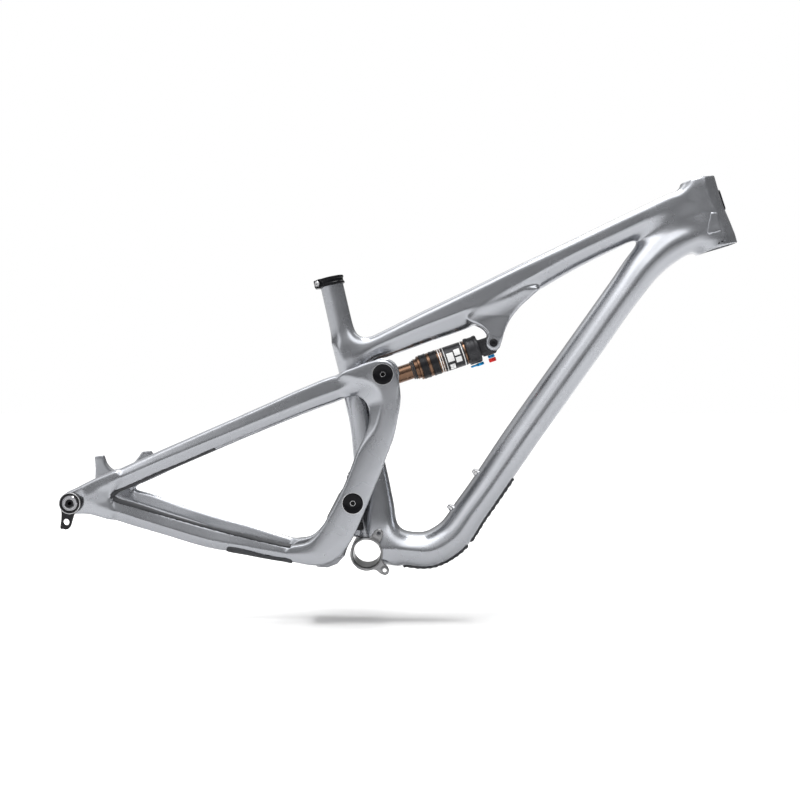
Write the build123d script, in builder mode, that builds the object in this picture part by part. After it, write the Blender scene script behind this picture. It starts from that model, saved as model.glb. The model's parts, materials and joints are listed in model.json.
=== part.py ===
from build123d import *
from math import cos, hypot, radians, sin
import os

# Full-suspension bicycle frame with its rear shock.
# Origin: middle of the bottom bracket.  +X forward, +Y left, +Z up, millimetres.
# Frame points are given as (x, z), because the frame lies along the XZ plane.

os.makedirs("parts", exist_ok=True)

# ---- Frame geometry ----
REAR_AXLE = (-435.0, 34.0)
UPPER_PIVOT = (-4.0, 268.0)      # swingarm on the upper link
LOWER_PIVOT = (-28.0, 74.0)      # swingarm on the sliding carriage
LINK_PIVOT = (2.0, 160.0)        # upper link on the seat tube
SHOCK_FRONT = (156.0, 333.0)
HEAD_TOP = (440.0, 612.0)
HEAD_BOTTOM = (480.0, 512.0)
SEAT_TOP = (-98.4, 403.0)
SEAT_LEAN = 18.9                 # degrees back from upright

# ---- Standard interfaces ----
BB_WIDTH = 92.0                  # press-fit bottom bracket, 41 mm bore
BB_BORE_R = 20.5
BB_OUTER_R = 24.5
ISCG_CIRCLE_R = 36.0
ISCG_ANGLES = (66.0, -36.0)
SEATPOST_R = 15.8
UPPER_HEADSET_R = 22.0
LOWER_HEADSET_R = 28.0
HEADSET_DEPTH = 14.0
HUB_WIDTH = 148.0
AXLE_R = 6.0
POST_SPACING = 74.2              # brake post mount
POST_HOLE_DEPTH = 15.0
WALL = 3.0                       # moulded carbon wall

# ---- Swingarm ----
ARM_INNER = 36.0                 # inner face of each upright, from the middle
ARM_OUTER = 58.0
DROPOUT_OUTER = 86.0
CHAINSTAY_RISE = 5.0             # the left chainstay runs this much higher
BEARING_R = 16.0
STUB_R = 7.0
CAP_R = 15.2
STAY_END = -383.0                # where the stays meet the dropouts

# ---- Sliding pivot ----
RAIL_LEAN = 6.0                  # degrees, tops leaning back
RAIL_R = 4.5
RAIL_SPACING = 26.0
RAIL_HALF = 44.0
MOUNT_HEIGHTS = (-37.0, 37.0)    # of the blocks that hold the rails, along the rails
RAIL_CLEARANCE = 0.5
BUSHING_R = 6.5
POCKET_DEPTH = 12.5              # cut into the seat tube, forward of the rails
POCKET_LENGTH = 108.0
CARRIAGE = (64.0, 20.0, 28.0)    # across the frame, fore and aft, along the rails

# ---- Shock ----
SHOCK_LENGTH = 184.0
SHOCK_TILT = 24.6                # degrees above level, towards the front
SHAFT_R = 12.5
CAN_R = 18.4
SHOCK_HEAD_R = 21.0
EYE_PIN_R = 4.0
EYE_CLEARANCE = 3.1              # the open pivot of the linkage
LINK_INNER = 20.0                # inner face of each link arm
LINK_OUTER = 31.0
MOUNT_INNER = 14.0               # inner face of each shock mount ear
MOUNT_OUTER = 23.0

FROM_START = (Align.CENTER, Align.CENTER, Align.MIN)


def side_plane(y):
    """Plane facing the right side of the frame, y to the left of the middle."""
    return Plane.XZ.offset(-y)


def turn(angle, distance, start=(0.0, 0.0)):
    """Point at a distance from start, at an angle in degrees above +X."""
    return (start[0] + distance * cos(radians(angle)), start[1] + distance * sin(radians(angle)))


def bar(start, axis, radius, length):
    """Round bar from a 3-D point along an axis."""
    with BuildPart(Plane(origin=start, z_dir=axis)) as result:
        Cylinder(radius, length, align=FROM_START)
    return result.part


def cross_bar(centre, radius, low, high):
    """Round bar across the frame at (x, z), from y = low to y = high."""
    return bar((centre[0], low, centre[1]), (0, 1, 0), radius, high - low)


def side_bar(centre, radius, side, near, far):
    """Round bar on one side of the frame, between two distances from the middle."""
    return cross_bar(centre, radius, *sorted((side * near, side * far)))


def tube(stations, shrink=0.0):
    """Loft of rounded sections: (x, y, z, slope in degrees, depth, width, corner)."""
    sections = []
    for x, y, z, slope, depth, width, corner in stations:
        run = (cos(radians(slope)), 0, sin(radians(slope)))
        with BuildSketch(Plane(origin=(x, y, z), x_dir=(0, 1, 0), z_dir=run)) as section:
            RectangleRounded(width - 2 * shrink, depth - 2 * shrink, max(corner - shrink, 2.0))
        sections.append(section.sketch)
    with BuildPart() as result:
        loft(sections, ruled=True)
    return result.part


def other_side(piece):
    """The same piece on the other side of the frame."""
    return mirror(piece, about=Plane.XZ, mode=Mode.PRIVATE)


def largest(piece):
    """The biggest solid of a piece, without the slivers that its neighbours cut off."""
    return piece.solids().sort_by(SortBy.VOLUME)[-1]


def finish(piece, name):
    """Label a finished piece and write it."""
    piece.part.label = name
    export_step(piece.part, f"parts/{name}.step")


# =====================================================================
# Front triangle: moulded tubes, bonded where they meet
# =====================================================================
head_run = (HEAD_TOP[0] - HEAD_BOTTOM[0], 0, HEAD_TOP[1] - HEAD_BOTTOM[1])
head_length = hypot(head_run[0], head_run[2])
head_base = Plane(origin=(HEAD_BOTTOM[0], 0, HEAD_BOTTOM[1]), x_dir=(0, 1, 0), z_dir=head_run)
HEAD_RINGS = ((0, 31.0), (16, 31.0), (50, 26.5), (88, 25.0), (head_length, 25.0))

with BuildPart() as head_outer:
    for height, radius in HEAD_RINGS:
        with BuildSketch(head_base.offset(height)):
            Circle(radius)
    loft(ruled=True)

with BuildPart() as head_tube:
    add(head_outer.part)
    with Locations(head_base):
        Cylinder(LOWER_HEADSET_R, HEADSET_DEPTH, align=FROM_START, mode=Mode.SUBTRACT)
        Cylinder(20.0, head_length, align=FROM_START, mode=Mode.SUBTRACT)
    with Locations(head_base.offset(head_length - HEADSET_DEPTH)):
        Cylinder(UPPER_HEADSET_R, HEADSET_DEPTH, align=FROM_START, mode=Mode.SUBTRACT)
finish(head_tube, "head_tube")

# Bottom bracket shell, pressed between the tubes
shell_outer = cross_bar((0, 0), BB_OUTER_R, -BB_WIDTH / 2, BB_WIDTH / 2)

with BuildPart() as bottom_bracket_shell:
    add(shell_outer)
    # chain guide tabs on the right face
    for angle in ISCG_ANGLES:
        hole = turn(angle, ISCG_CIRCLE_R)
        with BuildSketch(side_plane(-BB_WIDTH / 2 + 7)):
            with BuildLine():
                near_left = turn(angle + 90, 10.5)
                near_right = turn(angle - 90, 10.5)
                tip_left = turn(angle + 90, 7.0, hole)
                tip_right = turn(angle - 90, 7.0, hole)
                Polyline(tip_right, near_right, near_left, tip_left)
                ThreePointArc(tip_left, turn(angle, 7.0, hole), tip_right)
            make_face()
        extrude(amount=7)
        add(cross_bar(hole, 3.0, -60, 0), mode=Mode.SUBTRACT)
    add(cross_bar((0, 0), BB_BORE_R, -60, 60), mode=Mode.SUBTRACT)
finish(bottom_bracket_shell, "bottom_bracket_shell")
# Seat tube: round at the top, deep and wide at the bottom bracket
SEAT_TUBE = (
    (-98.4, 0, 403.0, 90 + SEAT_LEAN, 34.6, 34.6, 17.2),
    (-52.0, 0, 268.0, 90 + SEAT_LEAN, 37.0, 35.0, 17.0),
    (-24.0, 0, 185.0, 90 + 17.0, 42.0, 37.0, 16.0),
    (-11.0, 0, 134.0, 90 + 11.0, 47.0, 38.0, 15.0),
    (1.0, 0, 90.0, 90 + 11.0, 52.0, 46.0, 15.0),
    (10.0, 0, 50.0, 90 + 9.0, 56.0, 62.0, 16.0),
    (14.0, 0, 16.0, 90 + 4.0, 52.0, 78.0, 16.0),
)
seat_outer = tube(SEAT_TUBE)
seat_axis = (sin(radians(SEAT_LEAN)), 0, -cos(radians(SEAT_LEAN)))
rail_axis = (-sin(radians(RAIL_LEAN)), 0, cos(radians(RAIL_LEAN)))
pocket_base = Plane(origin=(LOWER_PIVOT[0], 0, LOWER_PIVOT[1]), x_dir=(0, 1, 0), z_dir=rail_axis)
with BuildPart() as seat_blank:
    add(seat_outer)
    add(bar((SEAT_TOP[0], 0, SEAT_TOP[1]), seat_axis, SEATPOST_R, 235.0), mode=Mode.SUBTRACT)
    # pocket behind the tube, where the carriage slides
    with Locations(pocket_base):
        Box(100, 2 * POCKET_DEPTH, POCKET_LENGTH, mode=Mode.SUBTRACT)
    add(shell_outer, mode=Mode.SUBTRACT)
    add(bottom_bracket_shell.part, mode=Mode.SUBTRACT)
    # lug that carries the upper link
    add(cross_bar(LINK_PIVOT, 16.0, -19.3, 19.3))
    add(cross_bar(LINK_PIVOT, 7.0, -25, 25), mode=Mode.SUBTRACT)

with BuildPart() as seat_tube:
    add(largest(seat_blank.part))
finish(seat_tube, "seat_tube")

TOP_TUBE = (
    (446.0, 0, 587.0, 31.6, 52.0, 44.0, 17.0),
    (410.0, 0, 568.0, 31.6, 45.0, 45.0, 16.0),
    (370.0, 0, 545.5, 31.6, 40.0, 46.0, 16.0),
    (260.0, 0, 477.0, 31.6, 42.0, 46.0, 16.0),
    (185.0, 0, 427.0, 31.6, 50.0, 45.0, 17.0),
    (116.0, 0, 381.5, 31.0, 54.0, 43.0, 17.0),
    (47.0, 0, 344.0, 29.0, 46.0, 39.0, 16.0),
    (0.0, 0, 318.0, 28.0, 44.0, 36.0, 15.0),
    (-58.0, 0, 288.0, 28.0, 40.0, 33.0, 14.0),
)
top_outer = tube(TOP_TUBE)

with BuildPart() as top_blank:
    add(top_outer)
    add(tube(TOP_TUBE, WALL), mode=Mode.SUBTRACT)
    add(head_outer.part, mode=Mode.SUBTRACT)
    add(seat_outer, mode=Mode.SUBTRACT)

with BuildPart() as top_tube:
    add(largest(top_blank.part))
finish(top_tube, "top_tube")

DOWN_TUBE = (
    (462.0, 0, 548.0, 35.0, 62.0, 50.0, 17.0),
    (411.0, 0, 519.0, 42.0, 64.0, 56.0, 18.0),
    (375.0, 0, 480.0, 55.0, 56.0, 60.0, 18.0),
    (345.0, 0, 431.0, 60.6, 51.0, 62.0, 18.0),
    (215.0, 0, 200.0, 60.6, 51.0, 66.0, 18.0),
    (150.0, 0, 80.0, 57.0, 50.0, 70.0, 18.0),
    (122.0, 0, 35.5, 34.0, 51.0, 73.0, 18.0),
    (92.0, 0, 15.5, 12.0, 50.0, 76.0, 18.0),
    (60.0, 0, 10.5, 2.0, 51.0, 80.0, 18.0),
    (12.0, 0, 6.0, 0.0, 44.0, 84.0, 16.0),
)
down_outer = tube(DOWN_TUBE)

with BuildPart() as down_blank:
    add(down_outer)
    add(tube(DOWN_TUBE, WALL), mode=Mode.SUBTRACT)
    add(head_outer.part, mode=Mode.SUBTRACT)
    add(top_outer, mode=Mode.SUBTRACT)
    add(seat_outer, mode=Mode.SUBTRACT)
    add(shell_outer, mode=Mode.SUBTRACT)
    add(bottom_bracket_shell.part, mode=Mode.SUBTRACT)
    split(bisect_by=Plane(origin=(20, 0, 0), z_dir=(1, 0, 0)), keep=Keep.TOP)

with BuildPart() as down_tube:
    add(largest(down_blank.part))
finish(down_tube, "down_tube")

# Ears below the top tube that hold the front end of the shock
with BuildPart() as shock_mount:
    with BuildSketch(side_plane(MOUNT_OUTER)):
        with BuildLine():
            Polyline((112, 372), (128, 357), (140, 355), (147, 346), turn(165, 11.5, SHOCK_FRONT))
            ThreePointArc(
                turn(165, 11.5, SHOCK_FRONT), turn(265, 11.5, SHOCK_FRONT), turn(5, 11.5, SHOCK_FRONT)
            )
            Polyline(
                turn(5, 11.5, SHOCK_FRONT), (171, 352), (177, 370), (189, 390), (212, 414), (200, 432),
                (112, 372)
            )
        make_face()
    extrude(amount=2 * MOUNT_OUTER)
    with BuildSketch(side_plane(MOUNT_INNER)):
        with Locations((150, 330)):
            Rectangle(90, 88)
    extrude(amount=2 * MOUNT_INNER, mode=Mode.SUBTRACT)
    add(top_outer, mode=Mode.SUBTRACT)
    add(cross_bar(SHOCK_FRONT, 4.0, -30, 30), mode=Mode.SUBTRACT)
finish(shock_mount, "shock_mount")

# ---- Small pieces on the front triangle ----
with BuildPart() as head_badge:
    with BuildSketch(head_base.offset(52)):
        Circle(28.2)
    extrude(amount=34)
    add(head_outer.part, mode=Mode.SUBTRACT)
    with Locations(head_base.offset(69)):
        with Locations((0, -41, 0)):
            Box(20, 40, 40, mode=Mode.INTERSECT)
finish(head_badge, "head_badge")

with BuildPart() as cable_port_covers:
    for side in (-1, 1):
        face = Plane(origin=(462, side * 31.5, 548), x_dir=(0.371, 0, 0.928), z_dir=(0, side, 0))
        with BuildSketch(face):
            RectangleRounded(30, 17, 4)
        extrude(amount=-8)
    add(head_outer.part, mode=Mode.SUBTRACT)
    add(down_outer, mode=Mode.SUBTRACT)
finish(cable_port_covers, "cable_port_covers")


def underside_guard(outline, half_width):
    """Guard cut from a band along the underside of the down tube."""
    with BuildPart() as result:
        with BuildSketch(side_plane(half_width)):
            with BuildLine():
                Spline(*outline)
                back = [(x - 9 * (1 if z > 15 else 0.2), z + 9) for x, z in outline]
                Spline(*back)
                Line(outline[0], back[0])
                Line(outline[-1], back[-1])
            make_face()
        extrude(amount=2 * half_width)
        add(down_outer, mode=Mode.SUBTRACT)
    return largest(result.part)


with BuildPart() as down_tube_guard_upper:
    add(underside_guard(((208.5, 131.5), (180, 78), (166, 52), (153, 29)), 22))
finish(down_tube_guard_upper, "down_tube_guard_upper")

with BuildPart() as down_tube_guard_lower:
    add(underside_guard(((151.5, 26.5), (141, 13), (127, 0.5), (106, -11), (85, -16), (56, -19)), 24))
finish(down_tube_guard_lower, "down_tube_guard_lower")

BOTTLE_POINTS = ((119.0, 79.0), (151.0, 136.0))
BOTTLE_NORMAL = (-0.871, 0, 0.491)
with BuildPart() as bottle_bolts:
    for x, z in BOTTLE_POINTS:
        add(bar((x + 4.3, 0, z - 2.5), BOTTLE_NORMAL, 5.5, 6.5))
        add(bar((x, 0, z), BOTTLE_NORMAL, 4.0, 5.5))
    add(down_outer, mode=Mode.SUBTRACT)
finish(bottle_bolts, "bottle_bolts")

# Collar that grips the seatpost, slit at the back
clamp_base = Plane(origin=(SEAT_TOP[0], 0, SEAT_TOP[1]), x_dir=(0, 1, 0), z_dir=tuple(-v for v in seat_axis))
with BuildPart() as seat_clamp:
    with BuildSketch(clamp_base.offset(-9)):
        Circle(20.3)
        with Locations((0, 20)):
            RectangleRounded(20, 12, 2.5)
    extrude(amount=13)
    with Locations(clamp_base.offset(-9)):
        Cylinder(17.3, 9, align=FROM_START, mode=Mode.SUBTRACT)
        Cylinder(SEATPOST_R + 0.3, 13, align=FROM_START, mode=Mode.SUBTRACT)
    with Locations(clamp_base.offset(-2.5)):
        with Locations((0, 22, 0)):
            Box(2.5, 20, 14, mode=Mode.SUBTRACT)
    clamp_bolt_start = clamp_base.offset(-2.5).location.position + Vector(*clamp_base.y_dir) * 21.0
    add(bar(tuple(clamp_bolt_start + Vector(0, -20, 0)), (0, 1, 0), 2.6, 40), mode=Mode.SUBTRACT)
    add(bar(tuple(clamp_bolt_start + Vector(0, -14, 0)), (0, 1, 0), 4.2, 4.0), mode=Mode.SUBTRACT)
    add(seat_outer, mode=Mode.SUBTRACT)
finish(seat_clamp, "seat_clamp")

with BuildPart() as seat_clamp_bolt:
    add(bar(tuple(clamp_bolt_start + Vector(0, -13.0, 0)), (0, 1, 0), 4.0, 3.0))
    add(bar(tuple(clamp_bolt_start + Vector(0, -10.0, 0)), (0, 1, 0), 2.5, 19))
    add(bar(tuple(clamp_bolt_start + Vector(0, -13.5, 0)), (0, 1, 0), 1.8, 2.5), mode=Mode.SUBTRACT)
finish(seat_clamp_bolt, "seat_clamp_bolt")

# ---- Rails of the sliding pivot ----
with BuildPart() as slider_rails:
    with Locations(pocket_base.offset(-RAIL_HALF)):
        with GridLocations(RAIL_SPACING, 1, 2, 1):
            Cylinder(RAIL_R, 2 * RAIL_HALF, align=FROM_START)
finish(slider_rails, "slider_rails")

with BuildPart() as rail_mounts:
    for height in MOUNT_HEIGHTS:
        with Locations(pocket_base.offset(height)):
            with Locations((0, (8 - POCKET_DEPTH) / 2, 0)):
                Box(44, 8 + POCKET_DEPTH, 12)
    add(slider_rails.part, mode=Mode.SUBTRACT)
    for height in MOUNT_HEIGHTS:
        with Locations(pocket_base.offset(height)):
            Cylinder(2.6, 60, rotation=(90, 0, 0), mode=Mode.SUBTRACT)
    add(shell_outer, mode=Mode.SUBTRACT)
finish(rail_mounts, "rail_mounts")

with BuildPart() as rail_mount_bolts:
    for height in MOUNT_HEIGHTS:
        with Locations(pocket_base.offset(height)):
            with Locations((0, 9.5, 0)):
                Cylinder(4.5, 3, rotation=(90, 0, 0))
            with Locations((0, (8 - POCKET_DEPTH) / 2, 0)):
                Cylinder(2.6, 8 + POCKET_DEPTH, rotation=(90, 0, 0))
    add(seat_tube.part, mode=Mode.SUBTRACT)
finish(rail_mount_bolts, "rail_mount_bolts")

with BuildPart() as link_pivot_axle:
    add(cross_bar(LINK_PIVOT, 6.95, -LINK_OUTER - 0.3, LINK_OUTER + 0.3))
    for side in (-1, 1):
        add(side_bar(LINK_PIVOT, 11.5, side, 31.3, 34.0))
        add(side_bar(LINK_PIVOT, 3.0, side, 31.0, 35.0), mode=Mode.SUBTRACT)
finish(link_pivot_axle, "link_pivot_axle")

with BuildPart() as shock_mount_bolts:
    for side in (-1, 1):
        add(side_bar(SHOCK_FRONT, 4.0, side, 1.0, MOUNT_OUTER))
        add(side_bar(SHOCK_FRONT, 6.2, side, MOUNT_OUTER, 26.5))
        add(side_bar(SHOCK_FRONT, 2.5, side, 23.5, 27.0), mode=Mode.SUBTRACT)
finish(shock_mount_bolts, "shock_mount_bolts")

# =====================================================================
# Upper link: two arms joined by a web, in front of the seat tube
# =====================================================================
shock_eye = turn(SHOCK_TILT + 180, SHOCK_LENGTH, SHOCK_FRONT)

with BuildPart() as upper_link:
    with BuildSketch(side_plane(LINK_OUTER)):
        with BuildLine():
            low_rear, low_front = (turn(angle, 15.0, LINK_PIVOT) for angle in (175, -5))
            top_front, top_rear = (turn(angle, 25.0, UPPER_PIVOT) for angle in (-10, 120))
            ThreePointArc(low_rear, turn(265, 15.0, LINK_PIVOT), low_front)
            Spline(low_front, (25, 205), (26, 235), top_front)
            ThreePointArc(top_front, turn(55, 25.0, UPPER_PIVOT), top_rear)
            Spline(top_rear, (-27, 268), (-27, 248), (-18, 205), low_rear)
        make_face()
    extrude(amount=2 * LINK_OUTER)
    with BuildSketch(side_plane(LINK_INNER)):
        with Locations((0, 320)):
            Rectangle(120, 195)
        with Locations((-50, 200)):
            Rectangle(114, 130)
        with Locations((0, 160)):
            Rectangle(120, 58)
    extrude(amount=2 * LINK_INNER, mode=Mode.SUBTRACT)
    add(cross_bar(LINK_PIVOT, 11.0, -40, 40), mode=Mode.SUBTRACT)
    add(cross_bar(UPPER_PIVOT, STUB_R, -40, 40), mode=Mode.SUBTRACT)
    add(cross_bar(shock_eye, EYE_PIN_R, -40, 40), mode=Mode.SUBTRACT)
finish(upper_link, "upper_link")

with BuildPart() as link_bearings:
    for side in (-1, 1):
        add(side_bar(LINK_PIVOT, 11.0, side, LINK_INNER + 1, LINK_OUTER - 1))
        add(side_bar(LINK_PIVOT, 7.0, side, LINK_INNER + 1, LINK_OUTER - 1), mode=Mode.SUBTRACT)
finish(link_bearings, "link_bearings")

with BuildPart() as shock_rear_pin:
    add(cross_bar(shock_eye, EYE_PIN_R, -LINK_OUTER - 2.5, LINK_OUTER + 2.5))
finish(shock_rear_pin, "shock_rear_pin")


def pivot_bolts(centre, inner_end):
    """Pair of stub axles with round cap heads, one in each side."""
    with BuildPart() as result:
        for side in (-1, 1):
            add(side_bar(centre, STUB_R - 0.05, side, inner_end, ARM_OUTER - 1.7))
            add(side_bar(centre, CAP_R, side, ARM_OUTER - 1.7, ARM_OUTER + 1.6))
            low, high = sorted((side * (ARM_OUTER + 0.2), side * (ARM_OUTER + 3)))
            with BuildSketch(side_plane(high)) as socket:
                with Locations(centre):
                    RegularPolygon(3.4, 6)
            extrude(socket.sketch, amount=high - low, mode=Mode.SUBTRACT)
    return result.part


with BuildPart() as upper_pivot_bolts:
    add(pivot_bolts(UPPER_PIVOT, LINK_INNER + 0.5))
finish(upper_pivot_bolts, "upper_pivot_bolts")

# =====================================================================
# Swingarm: each side an upright, two stays and a dropout
# =====================================================================
with BuildPart() as upright_blank:
    with BuildSketch(side_plane(ARM_OUTER)):
        with BuildLine():
            Spline(
                (-102, 2), (-85, 12), (-72, 30), (-62, 52), (-44, 98), (-30, 150), (-17, 196), (-24, 226),
                (-48, 233)
            )
            Line((-48, 233), (-48, 273))
            eye_rear, eye_front = (turn(angle, 22.5, UPPER_PIVOT) for angle in (105, 5))
            Spline((-48, 273), (-32, 281.5), eye_rear)
            ThreePointArc(eye_rear, turn(55, 22.5, UPPER_PIVOT), eye_front)
            Spline(
                eye_front, (21.5, 233), (23.5, 197), (15, 150), (-1, 92), (-14, 48), (-26, 15), (-46, -13),
                (-75, -24), (-102, -20)
            )
            Line((-102, -20), (-102, 2))
        make_face()
    extrude(amount=ARM_OUTER - ARM_INNER)
    for pivot in (UPPER_PIVOT, LOWER_PIVOT):
        add(cross_bar(pivot, BEARING_R, ARM_INNER + 4, ARM_OUTER), mode=Mode.SUBTRACT)
        add(cross_bar(pivot, 11.0, ARM_INNER, ARM_OUTER), mode=Mode.SUBTRACT)

SEATSTAY = (
    (-48.0, 47.0, 253.0, 27.5, 35.5, 22.0, 8.0),
    (-113.0, 50.5, 219.5, 29.0, 35.0, 19.0, 8.0),
    (-214.0, 57.0, 163.0, 29.4, 32.0, 17.0, 8.0),
    (-315.0, 68.0, 106.0, 29.4, 31.0, 17.0, 8.0),
    (STAY_END, 77.0, 67.5, 27.0, 30.0, 17.0, 8.0),
)
CHAINSTAY = (
    (-102.0, 47.5, -9.0, 0.0, 21.5, 21.0, 8.0),
    (-146.0, 50.0, -6.0, -5.0, 22.0, 19.0, 8.0),
    (-220.0, 56.5, 2.5, -8.5, 27.0, 17.0, 8.0),
    (-295.0, 66.0, 15.0, -10.5, 29.0, 17.0, 8.0),
    (STAY_END, 77.0, 33.5, -12.0, 30.0, 17.0, 8.0),
)


def stay(stations, rise=0.0):
    """Hollow stay on the left side, raised in its middle stretch."""
    start, length = stations[0][0], stations[-1][0] - stations[0][0]
    raised = [
        (x, y, z + rise * sin(radians(180 * (x - start) / length)), *rest) for x, y, z, *rest in stations
    ]
    with BuildPart() as result:
        add(tube(raised))
        add(tube(raised, WALL), mode=Mode.SUBTRACT)
        split(bisect_by=Plane(origin=(stations[0][0], 0, 0), z_dir=(-1, 0, 0)), keep=Keep.TOP)
        split(bisect_by=Plane(origin=(STAY_END, 0, 0), z_dir=(1, 0, 0)), keep=Keep.TOP)
    return result.part


with BuildPart() as dropout_blank:
    with BuildSketch(side_plane(DROPOUT_OUTER)):
        with BuildLine():
            Line((STAY_END, 85), (STAY_END, 17.5))
            Spline((STAY_END, 17.5), (-402, 22), turn(-65, 17.0, REAR_AXLE))
            ThreePointArc(turn(-65, 17.0, REAR_AXLE), turn(200, 17.0, REAR_AXLE), turn(105, 17.0, REAR_AXLE))
            Spline(turn(105, 17.0, REAR_AXLE), (-424, 61.5), (STAY_END, 85))
        make_face()
    extrude(amount=17)
    add(cross_bar(REAR_AXLE, 23.0, 60, HUB_WIDTH / 2), mode=Mode.SUBTRACT)
    add(cross_bar(REAR_AXLE, AXLE_R, 60, 100), mode=Mode.SUBTRACT)

SIDES = (("left", 1), ("right", -1))
arm_pieces = {}
for side_name, side in SIDES:
    rise = CHAINSTAY_RISE if side > 0 else 0.0
    blanks = {
        "upright": upright_blank.part,
        "seatstay": stay(SEATSTAY),
        "chainstay": stay(CHAINSTAY, rise),
        "dropout": dropout_blank.part,
    }
    for piece_name, blank in blanks.items():
        with BuildPart() as arm_piece:
            add(blank if side > 0 else other_side(blank))
        finish(arm_piece, f"{side_name}_{piece_name}")
        arm_pieces[f"{side_name}_{piece_name}"] = arm_piece.part

with BuildPart() as swingarm_bridge:
    with BuildSketch(side_plane(ARM_INNER)):
        with BuildLine():
            Polyline((-63, 50), (-55, 47), (-43.5, 82), (-49.5, 85), (-63, 50))
        make_face()
    extrude(amount=2 * ARM_INNER)
finish(swingarm_bridge, "swingarm_bridge")

with BuildPart() as lower_yoke:
    with BuildSketch(side_plane(ARM_INNER)):
        with BuildLine():
            Polyline(
                (-72, -27), (-56, -27), (-42, -20), (-32, -6), (-32, 10), (-40, 12), (-46, -4), (-62, -14),
                (-72, -27)
            )
        make_face()
    extrude(amount=2 * ARM_INNER)
finish(lower_yoke, "lower_yoke")

# Left side posts for the brake caliper
post_slope = 11.6
post_up = (-sin(radians(post_slope)), 0, cos(radians(post_slope)))
post_plane = Plane(
    origin=(-433.0, 70, 97.0), x_dir=(cos(radians(post_slope)), 0, sin(radians(post_slope))), z_dir=(0, -1, 0)
)
with BuildPart() as brake_post_mount:
    with BuildSketch(post_plane):
        with BuildLine():
            Polyline(
                (27, -27), (12, -18), (6.8, 0), (-6.8, 0), (-10, -40), (8, -58), (30, -50), (88, -22),
                (81, 0), (67.4, 0), (56, -12)
            )
            Spline((56, -12), (42, -23), (27, -27))
        make_face()
    extrude(amount=16)
    for spot in (0, POST_SPACING):
        x, y, z = post_plane.from_local_coords((spot, 0, 8))
        add(bar((x, y, z), tuple(-v for v in post_up), 3.0, POST_HOLE_DEPTH), mode=Mode.SUBTRACT)
    for neighbour in ("left_seatstay", "left_dropout", "left_chainstay"):
        add(arm_pieces[neighbour], mode=Mode.SUBTRACT)
    add(tube(SEATSTAY), mode=Mode.SUBTRACT)
    add(tube(CHAINSTAY), mode=Mode.SUBTRACT)
    add(cross_bar(REAR_AXLE, 26.0, 40, HUB_WIDTH / 2), mode=Mode.SUBTRACT)
finish(brake_post_mount, "brake_post_mount")

HANGER_HOLE = (-437.2, 6.5)
HANGER_R = 15.8
NUT_R = 11.4
with BuildPart() as derailleur_hanger:
    with BuildSketch(side_plane(-DROPOUT_OUTER)):
        with BuildLine():
            Polyline(
                (-446, 24), (-445, 8), (-444, -5.5), (-435, -4.8), (-430.5, 0.5), (-428.5, 10), (-426, 24)
            )
            ThreePointArc((-426, 24), turn(270, 9, REAR_AXLE), (-446, 24))
        make_face()
        with Locations(REAR_AXLE):
            Circle(HANGER_R)
    extrude(amount=6)
    add(cross_bar(HANGER_HOLE, 4.6, -100, -80), mode=Mode.SUBTRACT)
    add(cross_bar(REAR_AXLE, NUT_R, -100, -80), mode=Mode.SUBTRACT)
finish(derailleur_hanger, "derailleur_hanger")

with BuildPart() as hanger_bolt:
    add(cross_bar(REAR_AXLE, NUT_R, -93.5, -DROPOUT_OUTER))
    add(cross_bar(REAR_AXLE, AXLE_R, -100, -80), mode=Mode.SUBTRACT)
    chamfer(hanger_bolt.faces().sort_by(Axis.Y)[0].outer_wire().edges(), 1.5)
finish(hanger_bolt, "hanger_bolt")

with BuildPart() as rear_axle:
    add(cross_bar(REAR_AXLE, AXLE_R, -91.5, DROPOUT_OUTER + 1))
    add(cross_bar(REAR_AXLE, 9.5, DROPOUT_OUTER, DROPOUT_OUTER + 6))
    add(cross_bar(REAR_AXLE, 3.2, -95, 95), mode=Mode.SUBTRACT)
finish(rear_axle, "rear_axle")


def pivot_bearings(centre):
    """Bearing in each upright, with a thin rim showing round the cap."""
    with BuildPart() as result:
        for side in (-1, 1):
            add(side_bar(centre, BEARING_R, side, ARM_INNER + 4, ARM_OUTER))
            add(side_bar(centre, CAP_R + 0.25, side, ARM_OUTER - 2, ARM_OUTER), mode=Mode.SUBTRACT)
            add(side_bar(centre, STUB_R, side, ARM_INNER, ARM_OUTER), mode=Mode.SUBTRACT)
    return result.part


for bearing_name, pivot in (("upper_pivot_bearings", UPPER_PIVOT), ("lower_pivot_bearings", LOWER_PIVOT)):
    with BuildPart() as bearings:
        add(pivot_bearings(pivot))
    finish(bearings, bearing_name)

# Rubber strips that keep the chain and the ground off the right side
with BuildPart() as chainstay_guard:
    band = [(x, y, z - 1.6, *rest) for x, y, z, *rest in CHAINSTAY]
    add(other_side(tube(band, -1.2)))
    add(other_side(tube(CHAINSTAY)), mode=Mode.SUBTRACT)
    with Locations((-155, -54, -26)):
        Box(98, 40, 24, mode=Mode.INTERSECT)
finish(chainstay_guard, "chainstay_guard")

with BuildPart() as seatstay_guard:
    band = [(x, y, z - 1.2, *rest) for x, y, z, *rest in SEATSTAY]
    add(other_side(tube(band, -1.0)))
    add(other_side(tube(SEATSTAY)), mode=Mode.SUBTRACT)
    with BuildSketch(side_plane(0)):
        with BuildLine():
            Polyline((-376, 40), (-376, 64), (-230, 144), (-230, 120), (-376, 40))
        make_face()
    extrude(amount=100, mode=Mode.INTERSECT)
finish(seatstay_guard, "seatstay_guard")

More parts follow.
